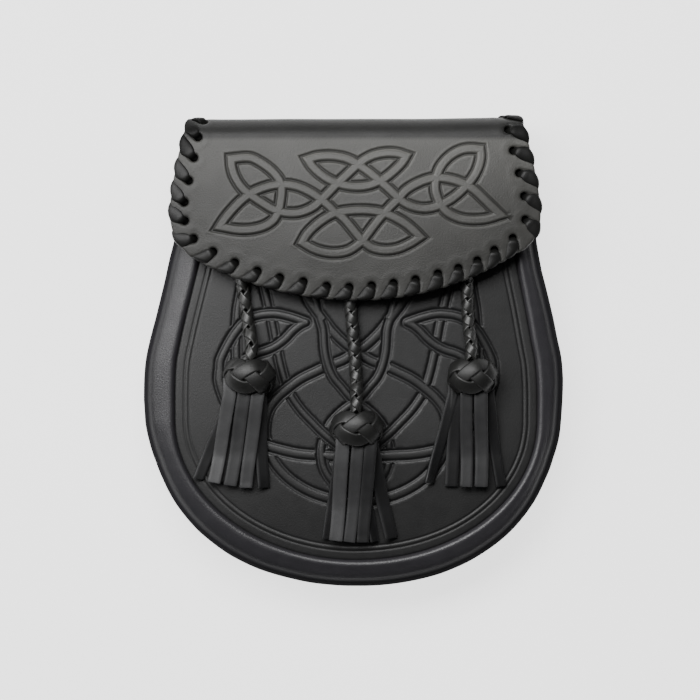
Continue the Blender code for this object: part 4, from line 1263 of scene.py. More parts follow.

# %% [markdown]
# ## The flap's knot
#
# The flap's pattern isn't interlaced. Its strands melt into each other where they cross, and one groove
# runs round the whole figure and round each of its cells. That is what the distance to the nearest strand
# gives: the groove lies where that distance is half a strand's width. Where two strands meet in a tip, the
# groove runs on to a point, so there the distance is measured to both strands' lines, carried on past their
# end. The tool leaned as it was drawn along, so a groove has one steep and one gentle wall. Beside the
# grooves the leather is painted paler: a little on both walls as burnish, and most on the gentle wall,
# which faces the light, as a painted highlight.

# %% Flap pattern
# Each strand's middle line, in pixels.
FLAP_STRANDS = (
    # left trefoil
    ((231.1, 159.1), (248.9, 157.8), (260.5, 162.8), (270.9, 170.3), (278.8, 179.4), (281.4, 187),
     (281.7, 194.5), (280, 206.3), (278.0, 212.6), (274.0, 219.8), (264.7, 226.2), (251.4, 229.6),
     (237.3, 229.8), (219.9, 226.7)),
    ((219.9, 226.7), (224.5, 219.6), (231.9, 210.5), (240.5, 201.6), (249.4, 194.6), (256.5, 190.8),
     (264.3, 187.8), (273, 185.6), (281.3, 184.9), (290, 185.3), (300.5, 187.9), (311.5, 193.2),
     (321.6, 200)),
    ((231.1, 159.1), (231.9, 167.4), (234.8, 176.5), (240.2, 185.6), (246, 191.8), (253.9, 197.6),
     (262.2, 203), (271, 208.4), (278.4, 211.4), (286.4, 213.1), (296.4, 213.4), (307, 210.6),
     (315.5, 205.8), (321.6, 200)),
    # centre
    ((308, 159.7), (317.7, 156.9), (331.1, 156.2), (343.8, 158), (351.6, 160.9), (358.3, 164.8),
     (365.9, 169.9), (373, 175.3), (379.5, 180.9), (388.2, 188.4), (395.2, 195), (399.4, 199)),
    ((406.7, 156.3), (397.1, 153.4), (385.5, 153.2), (374.8, 155.3), (365.9, 159.4), (358.3, 164.8),
     (351.3, 171.2), (343.9, 178.2), (337.3, 184.2), (331.4, 190.4), (325.7, 196.2), (321.6, 200)),
    ((308, 159.7), (311.9, 165.8), (319, 173), (327.5, 179), (336.8, 183.2), (346.6, 185.9), (358.3, 187),
     (370, 185.5), (379.3, 181.8), (387, 177.4), (395.5, 170.3), (402.6, 163), (406.7, 156.3)),
    ((302.5, 242.5), (307.5, 234), (315.9, 225.6), (325.7, 218.4), (335.5, 213.6), (347, 211.3),
     (361.4, 210.4), (374.8, 211.3), (385.5, 213.7), (395.4, 217.8), (406.5, 224.4), (414.6, 231.2),
     (420.5, 237.1)),
    ((302.5, 242.5), (312.3, 248.3), (323, 252), (335.5, 253.3), (347.4, 251.4), (355.9, 246.6),
     (362.8, 240.7), (368.6, 233.3), (374.8, 225.1), (380.2, 218.4), (385.3, 213), (389.7, 208),
     (394.6, 203.2), (399.4, 199)),
    ((420.5, 237.1), (410.5, 243.4), (397.6, 248.9), (384.6, 250.3), (374, 248.4), (367.9, 245),
     (362.8, 240.7), (356, 233), (348, 223.2), (341.4, 216.6), (335.3, 212.6), (329.1, 206.4),
     (321.6, 200)),
    # right trefoil
    ((481, 149.5), (471.7, 148.8), (462.6, 150), (453.5, 154.3), (446, 160.7), (440.4, 168.4),
     (437, 178), (435.7, 186.5), (437, 195), (440.6, 203.6), (445.4, 210.4), (452.7, 215.6),
     (462.6, 219.1), (475.1, 220.2), (487.7, 218.9), (500.8, 214.9)),
    ((481, 149.5), (481.5, 158), (478.8, 168.2), (474, 177.2), (467.4, 185.4), (460, 192.9), (451.4, 199.6),
     (441.6, 204.8), (432.3, 208), (422.8, 208.8), (412.9, 206.9), (405.2, 203.4), (399.4, 199)),
    ((399.4, 199), (405.4, 191.6), (413.2, 186.2), (422.8, 181.6), (431.3, 178.9), (438, 178), (446, 178.6),
     (456.4, 181), (466.4, 185), (475.4, 190.8), (484.6, 199.4), (493.3, 207.8), (500.8, 214.9)),
)
# %% Flap strands and tips
STRAND_HALF = 2.25
FLAP_GROOVE_DEPTH = 0.66
# The reach of a groove's steep wall, which the tool leaned on, and of its gentle wall.
FLAP_GROOVE_WALLS = (0.42, 0.66)
STRAND_CROWN = 0.42
# Beside the groove: how far from it, how wide, and how high the raised lip and how deep the fine line is.
LIP = (1.15, 0.36, 0.10)
FINE_LINE = (1.22, 0.20, 0.16)
# Where the leather beside a groove is painted paler, how far from it and how wide: some burnish, and mostly a
# painted highlight on the wall that faces the light.
BURNISH_AND_HIGHLIGHT = (0.85, 0.34)
FINE_LINE_SIDE = (0.55, -0.83)
TOOL_SIDE = (-0.25, 0.97)
# The pixel column that stays, the scale about it, and the pixels that all moves down.
FLAP_SIGHT = (330.0, 0.994, 0.6)


def on_the_flap(rows):
    """Pixels to flat places on the flap, which stands closer to the camera and so looks a little larger."""
    middle, scale, down = FLAP_SIGHT
    rows = np.asarray(rows, float)
    seen = np.stack([middle + (rows[:, 0] - middle) * scale, rows[:, 1] + down], axis=1)
    return at_pixels(seen) - (0, FOLD_HEIGHT)


flap_strands = [evenly(smooth_path(on_the_flap(rows), 6), 0.9) for rows in FLAP_STRANDS]


def find_tips():
    """The ends that just two strands share, and the directions in which those leave."""
    ends = [(path[0], unit(path[2] - path[0])) for path in flap_strands]
    ends += [(path[-1], unit(path[-3] - path[-1])) for path in flap_strands]
    tips = []
    for place, way in ends:
        there = [other_way for other, other_way in ends if np.linalg.norm(other - place) < 0.5]
        if len(there) == 2 and not any(np.linalg.norm(tip - place) < 0.5 for tip, _, _ in tips):
            tips.append((place, *there))
    return tips


tips = find_tips()


# %% Flap tooling
def flap_distance(points):
    """The distance to the nearest strand, with pointed tips, and the way from it."""
    best = np.full(len(points), 1e9)
    way = np.zeros((len(points), 2))
    for path in flap_strands:
        gap, _, away = nearest(points, path)
        closer = gap < best
        best[closer] = gap[closer]
        way[closer] = away[closer]
    for place, first, second in tips:
        away = points - place
        beyond = (away @ first < 0) & (away @ second < 0) & (np.hypot(*away.T) < 6.5)
        sides = [np.abs(away[:, 0] * d[1] - away[:, 1] * d[0]) for d in (first, second)]
        best[beyond] = np.minimum(best[beyond], np.maximum(*sides)[beyond])
    return best, unit(way)


def flap_pattern(points):
    """The tooling's height, and where it is painted paler: burnish, and a painted highlight on walls facing
    the light.
    """
    gap, way = flap_distance(points)
    across = np.abs(gap - STRAND_HALF)
    away = np.sign(gap - STRAND_HALF)
    gentle = smooth(0.5 - 0.5 * away * (way @ TOOL_SIDE))
    steep_wall, gentle_wall = FLAP_GROOVE_WALLS
    groove = FLAP_GROOVE_DEPTH * hill(across, 0, steep_wall + (gentle_wall - steep_wall) * gentle)
    offset, spread, depth = FINE_LINE
    line = depth * smooth(away * (way @ FINE_LINE_SIDE) * 1.6) * hill(across, offset, spread)
    crown = STRAND_CROWN * np.clip(1 - (gap / STRAND_HALF) ** 2, 0, 1)
    offset, spread, rise = LIP
    # Painted paler beside the groove: a quarter on both walls as burnish, the rest on the gentle wall, which
    # faces the light, as a painted highlight.
    burnish_and_highlight = (0.25 + 0.75 * gentle) * hill(across, *BURNISH_AND_HIGHLIGHT)
    return crown + rise * hill(across, offset, spread) - groove - line, burnish_and_highlight


print(len(flap_strands), "strands and", len(tips), "pointed tips")

# %% [markdown]
# ## The laced edge
#
# The flap's edge has a row of punched holes, and a flat lace is whipped through them: up through a hole,
# over the edge, behind and up through the next hole. Each hole is where the photograph shows it. The last
# ones, on the ends of the fold, follow at an even pitch.

# %% Edge and holes
FLAP_LEFT_ROWS = ((-70.6, -51.9), (-75.8, -46.5), (-78.6, -40.0), (-79.5, -31.0), (-77.5, -16.0),
                  (-74.0, 0.0), (-70.5, 12.0), (-66.5, 24.0), (-62.5, 36.0), (-59.8, 44.0))
FLAP_RIGHT_ROWS = ((73.6, -48.6), (77.2, -45.2), (79.8, -40.0), (80.5, -31.0), (78.4, -16.0), (74.8, 0.0),
                   (71.5, 12.0), (68.5, 24.0), (66.0, 36.0), (64.4, 44.0))
FLAP_LOWER_STEPS = 22
HOLE_DIAMETER = 3.5
FOLD_HOLES = 2
FOLD_PITCH = 9.0
LEAN_BELOW = 3.4
LEAN_LEFT = 5.2
LEAN_RIGHT = 4.4
# The middle of each hole that the photograph shows, from the left end of the fold round to the right end.
HOLE_PIXELS = (
    (197.5, 137.0), (193.5, 157.6), (188.5, 180.5), (184.0, 202.0), (184.5, 220.5), (193.5, 238.5),
    (213.0, 251.5), (235.0, 262.5), (257.5, 271.0), (280.0, 277.5), (303.5, 281.5), (327.0, 286.0),
    (349.5, 287.0), (372.0, 285.5), (394.0, 283.0), (416.0, 279.5), (438.5, 273.5), (459.0, 268.0),
    (478.0, 260.5), (495.0, 250.0), (513.5, 238.0), (526.0, 219.5), (525.0, 196.0), (520.0, 173.0),
    (514.0, 150.5), (509.0, 129.5),
)


# %% Where the holes lie
def flap_edge(steps):
    low, high = FLAP_LEFT_ROWS[0][0], FLAP_RIGHT_ROWS[0][0]
    x = low + (high - low) * np.arange(1, FLAP_LOWER_STEPS) / FLAP_LOWER_STEPS
    radius = np.where(x < FLAP_LOWEST_X, *FLAP_LOWER_RADIUS)
    rise = radius - np.sqrt(radius**2 - (x - FLAP_LOWEST_X) ** 2)
    below = np.stack([x, FLAP_LOWEST + rise - FOLD_HEIGHT], axis=1)
    return np.vstack([smooth_path(FLAP_LEFT_ROWS[::-1], steps), below, smooth_path(FLAP_RIGHT_ROWS, steps)])


def run_at_back(y):
    far = FLAP_LEFT_ROWS[-1][1] + 20
    return far + float(over_the_fold(0.0, far)[1]) - y


def back_edge():
    outline = inset_path(body_outline(FOLD_HEIGHT - 10, 20, 120), BACK_INSET)[::-1]
    return np.stack([outline[:, 0], run_at_back(outline[:, 1])], axis=1)


def lean_at(x):
    """How far a stitch leans along the edge: most where it climbs the left side."""
    left, right = smooth((-x - 52) / 16), smooth((x - 58) / 14)
    return float(LEAN_BELOW + (LEAN_LEFT - LEAN_BELOW) * left + (LEAN_RIGHT - LEAN_BELOW) * right)


def on_edge_at(edge, run, place):
    """The edge's point at a length along it, the edge's direction there, and inward."""
    k = int(np.clip(np.searchsorted(run, place) - 1, 0, len(edge) - 2))
    along = unit(edge[k + 1] - edge[k])
    return edge[k] + along * (place - run[k]), along, np.array([-along[1], along[0]])


def hole_middles():
    """The lacing holes in order along the edge: where each is, the edge's direction there, inward, how far
    inside the edge it is, and the same three for the place where its stitch turns over the edge."""
    edge = flap_edge(6)
    run = lengths_along(edge)
    seen = on_the_flap(HOLE_PIXELS)
    gap, at, _ = nearest(seen, edge)
    at = np.interp(at, np.arange(len(edge)), run)
    extra = FOLD_PITCH * np.arange(1, FOLD_HOLES + 1)
    at = np.concatenate([at[0] - extra[::-1], at, at[-1] + extra])
    gap = np.concatenate([np.full(FOLD_HOLES, gap[0]), gap, np.full(FOLD_HOLES, gap[-1])])
    places = []
    for place, inset in zip(at, gap):
        foot, along, inward = on_edge_at(edge, run, place)
        middle = foot + inward * inset
        places.append((middle, along, inward, inset, on_edge_at(edge, run, place - lean_at(middle[0]))))
    return places


holes = hole_middles()
lowest, beside = holes[14], holes[15]
print(len(holes), "holes; the middle ones are", round(float(np.linalg.norm(lowest[0] - beside[0])), 1),
      "mm apart and", round(lowest[3], 1), "mm inside the edge")

# %% [markdown]
# ## The flap, fold and back
#
# Flap, fold and back are one piece of leather, so they are one sheet here. The small triangles are spent on
# the flap's pattern and on the lacing holes, where the pull of the lace dimples the leather. On the back, a
# channel for the seam that holds the gusset is pressed in along the rim.

# %% Back and flap
LACE_SINK = 0.30
# On the fold: how much of the flap's paleness is kept, which paints the fold dark as painted shade, and how
# much of its gloss is taken away.
FOLD_PAINTED_SHADE = 0.05
FOLD_DULL = 0.22
# How pale the flap is painted, from its lower edge up to the fold: painted light, paler towards the fold.
FLAP_PAINTED_LIGHT = ((-70, 0.63), (-50, 0.64), (-27, 0.76), (-12, 1.16), (0, 1.5))
# How much paler it is painted towards the right, for each mm: painted light.
RIGHT_PAINTED_LIGHT = 0.0028
FLAP_CROWN = 0.5
# How far the top of the fold lies below its pattern: x and millimetres.
FOLD_SINK = ((-75, 1.15), (-55, 0.75), (-25, 0.35), (0, 0.3), (30, 0.3), (50, 0.15), (66, 0.0))
# How the tight lace pulls the lower edge in, how far the leather swells between two stitches, and their
# reach.
EDGE_PULL = (0.75, 0.30, 2.7)
SIDE_PULL = 0.1


def lower_share(place):
    """1 on the flap's lower edge, 0 on its sides, where the stiff folded leather isn't drawn in."""
    return float(smooth((-place[1] - 44) / 8))


# The creases along a stitch's two sides: half its width at the hole and at the edge, crease depths, crease
# width.
STITCH_SIDES = (1.75, 3.3)
CREASE_DEPTHS = ((-1, 0.30), (1, 0.55))
CREASE_WIDTH = 0.50
# How far the leather dips round a hole, and over what width.
HOLE_DIMPLE = (0.22, 0.55)
STITCH_REACH = 7.2


def pull_edge(path):
    """The edge as the stitches leave it: drawn in under each, swollen between them."""
    pull, swell, reach = EDGE_PULL
    closest = np.full(len(path), 1e9)
    inward_there = np.zeros_like(path)
    for *_, (place, along, inward) in holes:
        away = path - place
        gap = np.abs(away @ along)
        near = (np.hypot(*away.T) < 14) & (gap < closest)
        closest[near] = gap[near]
        inward_there[near] = inward * max(lower_share(place), SIDE_PULL)
    amount = (pull + swell) * hill(closest, 0, reach) - swell
    return path + inward_there * (amount * (closest < 1e8))[:, None]


def by_a_stitch(points):
    gap = np.min([np.hypot(*(points - middle).T) for middle, *_ in holes], axis=0)
    return gap < STITCH_REACH


# %% Flap relief
SEAM_FROM_EDGE = 3.0
SEAM_CHANNEL = (0.42, 0.55)
back_rim = back_edge()
seam_line = inset_path(back_rim, SEAM_FROM_EDGE)
LACE_SPREAD = 2.8
SWELL_BESIDE = (4.4, 1.2)


def flap_relief(points):
    height = np.zeros(len(points))
    on_flap = points[:, 1] < 2
    burnish_and_highlight = np.zeros(len(points))
    height[on_flap], burnish_and_highlight[on_flap] = flap_pattern(points[on_flap])
    pattern = height.copy()
    for middle, along, inward, inset, _ in holes:
        away = points - middle
        gap = np.hypot(*away.T)
        outward = -(away @ inward)
        beside = away @ along + lean_at(middle[0]) * outward / inset
        reach = smooth(outward / 2.0) * (outward < 8.5)
        height -= HOLE_DIMPLE[0] * hill(np.maximum(gap - HOLE_DIAMETER / 2, 0), 0, HOLE_DIMPLE[1])
        height -= LACE_SINK * hill(beside, 0, LACE_SPREAD) * reach
        half = STITCH_SIDES[0] + (STITCH_SIDES[1] - STITCH_SIDES[0]) * np.clip(outward / inset, 0, 1)
        for side, depth in CREASE_DEPTHS:
            height -= depth * hill(beside, side * half, CREASE_WIDTH) * reach
        height += 0.08 * hill(gap, *SWELL_BESIDE) * smooth((2 - outward) / 6)
    height -= np.interp(points[:, 0], *zip(*FOLD_SINK)) * smooth(points[:, 1] / 6)
    height -= SEAM_CHANNEL[0] * hill(nearest(points, seam_line)[0], 0, SEAM_CHANNEL[1])
    slow = waves(points, 11, 46.0, 0.45) + waves(points, 12, 15.0, 0.08)
    free = 0.2 + 0.8 * smooth((-3 - points[:, 1]) / 12)
    height += FLAP_CROWN * (1 - ((points[:, 1] + 34) / 36) ** 2) * on_flap
    # Painted light and shade, with some wear: grooves are painted darker, as dye settles there and as painted
    # shade; strand tops a little paler; the walls beside the grooves that face the light paler, as a painted
    # highlight. Then the flap is painted paler towards the fold and towards the right, as painted light, and
    # the fold itself is painted dark, as painted shade, with its gloss taken away.
    wear_and_painted_light = np.clip(0.42 + pattern * 0.30, 0, 1) + 0.05 * np.clip(pattern * 4, 0, 1) + 0.50 * burnish_and_highlight
    wear_and_painted_light *= np.interp(points[:, 1], *zip(*FLAP_PAINTED_LIGHT)) * (1 + RIGHT_PAINTED_LIGHT * points[:, 0])
    in_front = smooth((0.6 - points[:, 1]) / 3.0)
    return height + slow * free, wear_and_painted_light * (FOLD_PAINTED_SHADE + (1 - FOLD_PAINTED_SHADE) * in_front) - FOLD_DULL * (1 - in_front)


# %% Back and flap in one sheet
outline = np.vstack([pull_edge(evenly(flap_edge(8), 0.6)), evenly(back_rim, 1.2)])
turns = tau * np.arange(18) / 18
round_loop = np.stack([np.cos(turns), np.sin(turns)], axis=1)
loops = [place + HOLE_DIAMETER / 2 * round_loop for place, *_ in holes]


def by_a_groove(points):
    return np.abs(flap_distance(points)[0] - STRAND_HALF) < 1.75


fine = lattice((-65, -58), (66, -2), 0.27)
plain = lattice((-82, -73), (82, 0.5), 0.85)
plain = plain[~by_a_groove(plain) & ~by_a_stitch(plain)]
stitched = lattice((-82, -73), (82, 0.5), 0.50)
stitched = stitched[by_a_stitch(stitched) & ~by_a_groove(stitched)]
fold = lattice((-82, 0.8), (82, 62), 1.25)
back = lattice((-86, 63), (86, 262), 3.0)
back = back[nearest(back, seam_line)[0] > 1.9]
seam_rings = [inset_path(back_rim, SEAM_FROM_EDGE + d)[::2] for d in (-1.2, -0.7, -0.35, 0, 0.35, 0.7, 1.2)]
inner = np.vstack([fine[by_a_groove(fine)], plain, stitched, fold, back, *seam_rings])
back_points = np.vstack([lattice((-84, -73), (84, -1), 6.0), lattice((-84, 0), (84, 62), 2.5),
                         lattice((-84, 63), (84, 262), 6.0)])
back_and_flap = shape_sheet("tooled_back_and_flap", outline, loops, inner, back_points,
                            over_the_fold, flap_relief, FLAP_LEATHER)
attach(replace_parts(back_and_flap, "back_and_flap"), "root")

# %% [markdown]
# ## The whipped lace
#
# The lace is a single flat thong. Its way is a list of stations for each stitch: up from behind through a
# hole, along the face, over the edge and back behind. A smooth curve joins them. It is a flat band, narrow
# and dull in the holes, that spreads towards the edge while its two sides bend down over the leather.

# %% Lace
# Widths on the flap's sides and on its lower edge.
LACE_MIDWAY = (6.2, 5.6)
LACE_ON_EDGE = (7.9, 7.7)
LACE_IN_HOLE = (3.4, 1.5)
LACE_OUT_OF_HOLE = (3.9, 1.3)
LACE_THICKNESS = 1.0
LACE_BEHIND = 4.6
LACE_TILT = 0.40
# How far the lace's sides bend down: where it comes out of its hole, midway, by the edge and on the edge.
LACE_ARCH = (0.10, 0.42, 0.75, 1.1)
SECTION_POINTS = 16
SECTION_POWERS = (0.8, 0.75)


def lace_section():
    """A flat band's section with soft edges, 1 wide and 1 thick."""
    turn = np.arange(SECTION_POINTS) * tau / SECTION_POINTS
    around = np.stack([np.cos(turn), np.sin(turn)], axis=1)
    return 0.5 * np.sign(around) * np.abs(around) ** SECTION_POWERS


def square_to(run, along):
    square = unit(np.array([-run[1], run[0]]))
    return square if square @ along > 0 else -square


# %% Stations of the lace
def lace_stations():
    """Stations of the lace: flat place, height above the middle of the leather, flat width, thickness, tilt,
    arch, and how dull it is, which is 1 down in the holes and behind the flap."""
    face = PANEL_THICKNESS / 2 + 0.05 + LACE_THICKNESS / 2
    behind = face + 0.3
    stations = []
    places = holes[::-1]
    for (middle, hole_along, _, _, crossing), (following, *_) in zip(places, places[1:]):
        place, along, inward = crossing
        lean = -along * lean_at(middle[0])
        lower = lower_share(place)
        edge = place - inward * (0.05 + LACE_THICKNESS / 2 - EDGE_PULL[0] * max(lower, SIDE_PULL))
        ahead = unit(edge - middle)
        crosswise = square_to(ahead, hole_along)
        midway = crosswise * (LACE_MIDWAY[0] + (LACE_MIDWAY[1] - LACE_MIDWAY[0]) * lower)
        on_edge = along * (LACE_ON_EDGE[0] + (LACE_ON_EDGE[1] - LACE_ON_EDGE[0]) * lower)
        below = unit(edge - following)
        under = square_to(below, along) * LACE_OUT_OF_HOLE[0]
        tilt = LACE_TILT * lower * float(smooth((45 - middle[0]) / 40))
        stations += [
            (middle + ahead * (0.45 - 0.3 * lower), -0.85, crosswise * LACE_IN_HOLE[0], LACE_IN_HOLE[1],
             0.0, 0.0, 1.0),
            (middle + ahead * (1.6 - 0.3 * lower), face - 0.35,
             crosswise * (LACE_OUT_OF_HOLE[0] + 0.5 * lower), LACE_OUT_OF_HOLE[1], 0.0, LACE_ARCH[0], 0.1),
            (middle * 0.5 + edge * 0.5, face - LACE_SINK * 0.5, midway, 1.15, tilt, LACE_ARCH[1], 0.0),
            (edge + inward * 0.6, face - 0.1 - LACE_SINK, on_edge, LACE_THICKNESS, tilt, LACE_ARCH[2], 0.0),
            (edge + lean * 0.1, 0.0, on_edge * 0.9, LACE_THICKNESS, 0.0, LACE_ARCH[3], 0.0),
            (edge + lean * 0.15 + inward * 0.5, -behind + 0.2, along * LACE_BEHIND, LACE_THICKNESS,
             0.0, 0.3, 0.5),
            (following + below * 1.0, -behind, under, 1.1, 0.0, 0.0, 1.0),
            (following - below * 1.9, 0.15 - behind, under, 1.1, 0.0, 0.0, 1.0),
        ]
    middle, along, *_ = places[-1]
    stations.append((middle, -0.6, along * LACE_IN_HOLE[0], LACE_IN_HOLE[1], 0.0, 0.0, 1.0))
    return stations


# %% The thong
def make_lace():
    stations = lace_stations()
    place, width = (np.array([s[column] for s in stations]) for column in (0, 2))
    height, thickness, tilt, arch, dull = np.array([[s[k] for k in (1, 3, 4, 5, 6)] for s in stations]).T
    on_fold = smooth(place[:, 1] / 6) * (height > 0.5)
    height = height - np.interp(place[:, 0], *zip(*FOLD_SINK)) * on_fold
    dull = np.maximum(dull, 0.12 + 0.45 * smooth((place[:, 1] + 12) / 10))
    on_leather = over_the_fold(place[:, 0], place[:, 1])
    out = facing(over_the_fold, place[:, 0], place[:, 1])
    middle = on_leather + out * height[:, None]
    step = place + unit(width) * 0.1
    wide = unit(over_the_fold(step[:, 0], step[:, 1]) - on_leather) * np.linalg.norm(width, axis=1)[:, None]
    wide += out * tilt[:, None]
    way = smooth_path(np.hstack([middle, wide, np.stack([thickness, arch, dull], axis=1)]), 8)
    middle, wide, thickness, arch, dull = way[:, :3], way[:, 3:6], way[:, 6:7], way[:, 7:8], way[:, 8:]
    along = unit(np.gradient(middle, axis=0))
    up = unit(np.cross(along, wide))
    section = lace_section()
    rise = thickness * section[None, :, 1] - arch * (2 * section[None, :, 0]) ** 2
    rings = middle[:, None] + wide[:, None] * section[None, :, :1] + up[:, None] * rise[..., None]
    run = lengths_along(middle) * MM
    uv = grid_uv(run, section[:, 0] * 4 * MM)
    wear_and_painted_light = (np.abs(section[:, 0]) > 0.42) * 0.3 * (dull < 0.13) - np.clip(dull, 0, 1)
    print("the lace is", round(run[-1] * 1000), "mm long")
    return make_tube("whipped_lace", rings, LACE_LEATHER, wear_and_painted_light.ravel(), uv)


lace = make_lace()
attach(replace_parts(lace, "flap_lacing"), "root")

# %% [markdown]
# ## The rolled rim and side wall
#
# The gusset is soft leather that joins back and front. In front it is turned over a core into a full round
# roll, which casts the dark line beside the panel. Its section is swept along the body's outline. Soft
# leather that is pulled round a bend is never even, so the roll swells and narrows a little along its way.

# %% Gusset
GUSSET_ROWS = ((-19.0, 24.4), (-11.9, 24.4), (-11.2, 26.1), (-10.7, 28.0), (-9.7, 28.9), (-8.2, 28.6),
               (-6.2, 27.6), (-4.0, 26.2), (-1.9, 22.9), (-0.9, 16.0), (-1.5, 9.6), (-4.4, 4.9),
               (-9.0, 3.75), (-15.0, 3.75))
# How far the soft rim stands out from the pattern it was cut to: angle in degrees at RIM_MIDDLE,
# millimetres.
RIM_MIDDLE = (0.0, -25.0)
RIM_ROWS = (
    (-90, 0.0), (-72, 0.3), (-62, 0.6), (-52, 0.6), (-40, 0.4), (-27, -0.6), (-21, -1.2), (-14, -1.2),
    (-8, -0.4), (0, 0.4), (8, 1.1), (13, 1.2), (18, 1.0), (24, 0.8), (29, 0.4), (36, -0.2), (60, -0.4),
    (120, 0.4), (141, 0.8), (151, 0.4), (156, 0.5), (161, 0.8), (167, 1.1), (172, 1.3), (178, 1.3),
    (184, 0.6), (189, -0.3), (195, -1.1), (201, -1.0), (208, -0.4), (218, 0.2), (230, 0.6), (240, 0.6),
    (249, 0.3), (270, 0.0),
)


def make_gusset():
    outline = evenly(body_outline(MOUTH_TOP, 60, 200), 1.15)
    section = smooth_path(GUSSET_ROWS, 5)
    lean = unit(np.gradient(section, axis=0))
    normal = np.stack([-lean[:, 1], lean[:, 0]], axis=1)
    half = GUSSET_THICKNESS / 2
    around = np.vstack([section + normal * half, (section - normal * half)[::-1]])
    count = len(section)
    along = unit(np.gradient(outline, axis=0))
    outward = np.stack([along[:, 1], -along[:, 0]], axis=1)
    run = lengths_along(outline)
    soft = np.stack([run, np.zeros_like(run)], axis=1)
    swell = waves(soft, 21, 60.0, 0.35) + waves(soft, 22, 14.0, 0.07)
    free = np.concatenate([smooth((section[:, 0] + 10.4) / 3) * smooth((section[:, 1] - 6) / 6)] * 2)
    free[count:] = free[count:][::-1]
    roll = np.vstack([normal, normal[::-1]]) * free[:, None]
    placed = around[None] + roll[None] * swell[:, None, None]
    angle = (np.degrees(np.arctan2(*(outline - RIM_MIDDLE).T[::-1])) + 90) % 360 - 90
    rim = np.interp(angle, *zip(*RIM_ROWS))
    outer = smooth((around[:, 0] + 10.5) / 8)
    placed[..., 0] += rim[:, None] * outer
    flat = outline[:, None] + outward[:, None] * placed[..., :1]
    flat = flat + np.array(PANEL_SHIFT) * (1 - outer)[:, None]
    rings = np.concatenate([flat, placed[..., 1:]], axis=-1)
    girth = np.concatenate([lengths_along(section), lengths_along(section)[::-1]])
    uv = grid_uv(run * MM, girth * MM)
    # The roll is painted paler along its crest, and more so on the right, where the lights on the left don't
    # reach: that extra is painted light. Lower on its outer side it loses its gloss, more of it on the right
    # and at the bottom.
    right = smooth(outline[:, 0] / 60)[:, None]
    top = np.clip((around[:, 1] - 27.2) / 1.6, 0, 1) * (np.arange(2 * count) < count)
    dark_side = np.maximum(right, smooth((-68 - outline[:, 1]) / 25)[:, None])
    shaded = smooth((27.5 + 0.7 * dark_side - around[:, 1]) / 3.2)
    shaded = shaded * (0.35 + 0.65 * smooth((around[:, 1] - 13) / 6))
    under = 0.88 * shaded * (around[:, 0] > -8) * (np.arange(2 * count) < count)
    wear_and_painted_light = (top * (0.6 + 0.4 * right) * (under < 0.05) - under).ravel()
    cut = [run[-1] * MM, lengths_along(section)[-1] * MM]
    print("the gusset is cut from a strip", [round(length / MM) for length in cut], "mm")
    return make_tube("rolled_gusset", rings, ROLL_LEATHER, wear_and_painted_light, uv, 75), cut


gusset, gusset_cut = make_gusset()
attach(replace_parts(gusset, "gusset"), "root")

# %% [markdown]
# ## The belt sleeve
#
# The photograph doesn't show the back. Sporrans hang on a strap, and a sewn sleeve is the plain way to take
# it. It has the CAD's section, and its edges are eased with a bevel, as a maker would ease them.

# %% Sleeve
SLEEVE = {"length": 72.0, "height": 46.0, "tunnel": 33.0, "clear": 4.5, "thickness": 1.7, "y": 38.0,
          "corner": 1.2}
SLEEVE_BEVEL = 0.45


def make_sleeve():
    t, panel = SLEEVE["thickness"], BACK_DISH
    inner, outer = SLEEVE["tunnel"] / 2, SLEEVE["height"] / 2
    half = [(outer, panel - GAP), (outer, panel - GAP - t), (inner + t, panel - GAP - t),
            (inner + t, panel - SLEEVE["clear"]), (inner + t - SLEEVE["corner"], panel - SLEEVE["clear"] - t)]
    tunnel = [(inner - SLEEVE["corner"], panel - SLEEVE["clear"]),
              (inner, panel - SLEEVE["clear"] + SLEEVE["corner"]), (inner, panel - GAP)]
    section = half + [(-y, z) for y, z in half[::-1]] + [(-y, z) for y, z in tunnel[::-1]] + tunnel
    across = np.linspace(-SLEEVE["length"] / 2, SLEEVE["length"] / 2, 2)
    rings = np.array([[(x, SLEEVE["y"] + y, z) for y, z in section] for x in across])
    piece = make_tube("sewn_belt_sleeve", rings, FRONT_LEATHER)
    bevel = piece.modifiers.new("eased_edges", "BEVEL")
    bevel.width = SLEEVE_BEVEL * MM
    bevel.segments = 3
    bevel.limit_method = "ANGLE"
    bevel.angle_limit = radians(25)
    settle(piece, bevel)
    round_section = lengths_along(np.array(section + section[:1], float))[-1]
    cut = [SLEEVE["length"] * MM, (round_section / 2 - t) * MM]
    print("the sleeve is cut from a strip", [round(length / MM) for length in cut], "mm")
    return piece, cut


sleeve, sleeve_cut = make_sleeve()
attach(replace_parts(sleeve, "belt_sleeve"), "root")

# %% [markdown]
# ## Stitches
#
# Waxed thread holds the gusset to the back and the sleeve to the back. A saddle stitch is a short fat
# thread that sinks at both ends, about 3 mm long, over and over along a line, which is what Geometry Nodes
# are for.


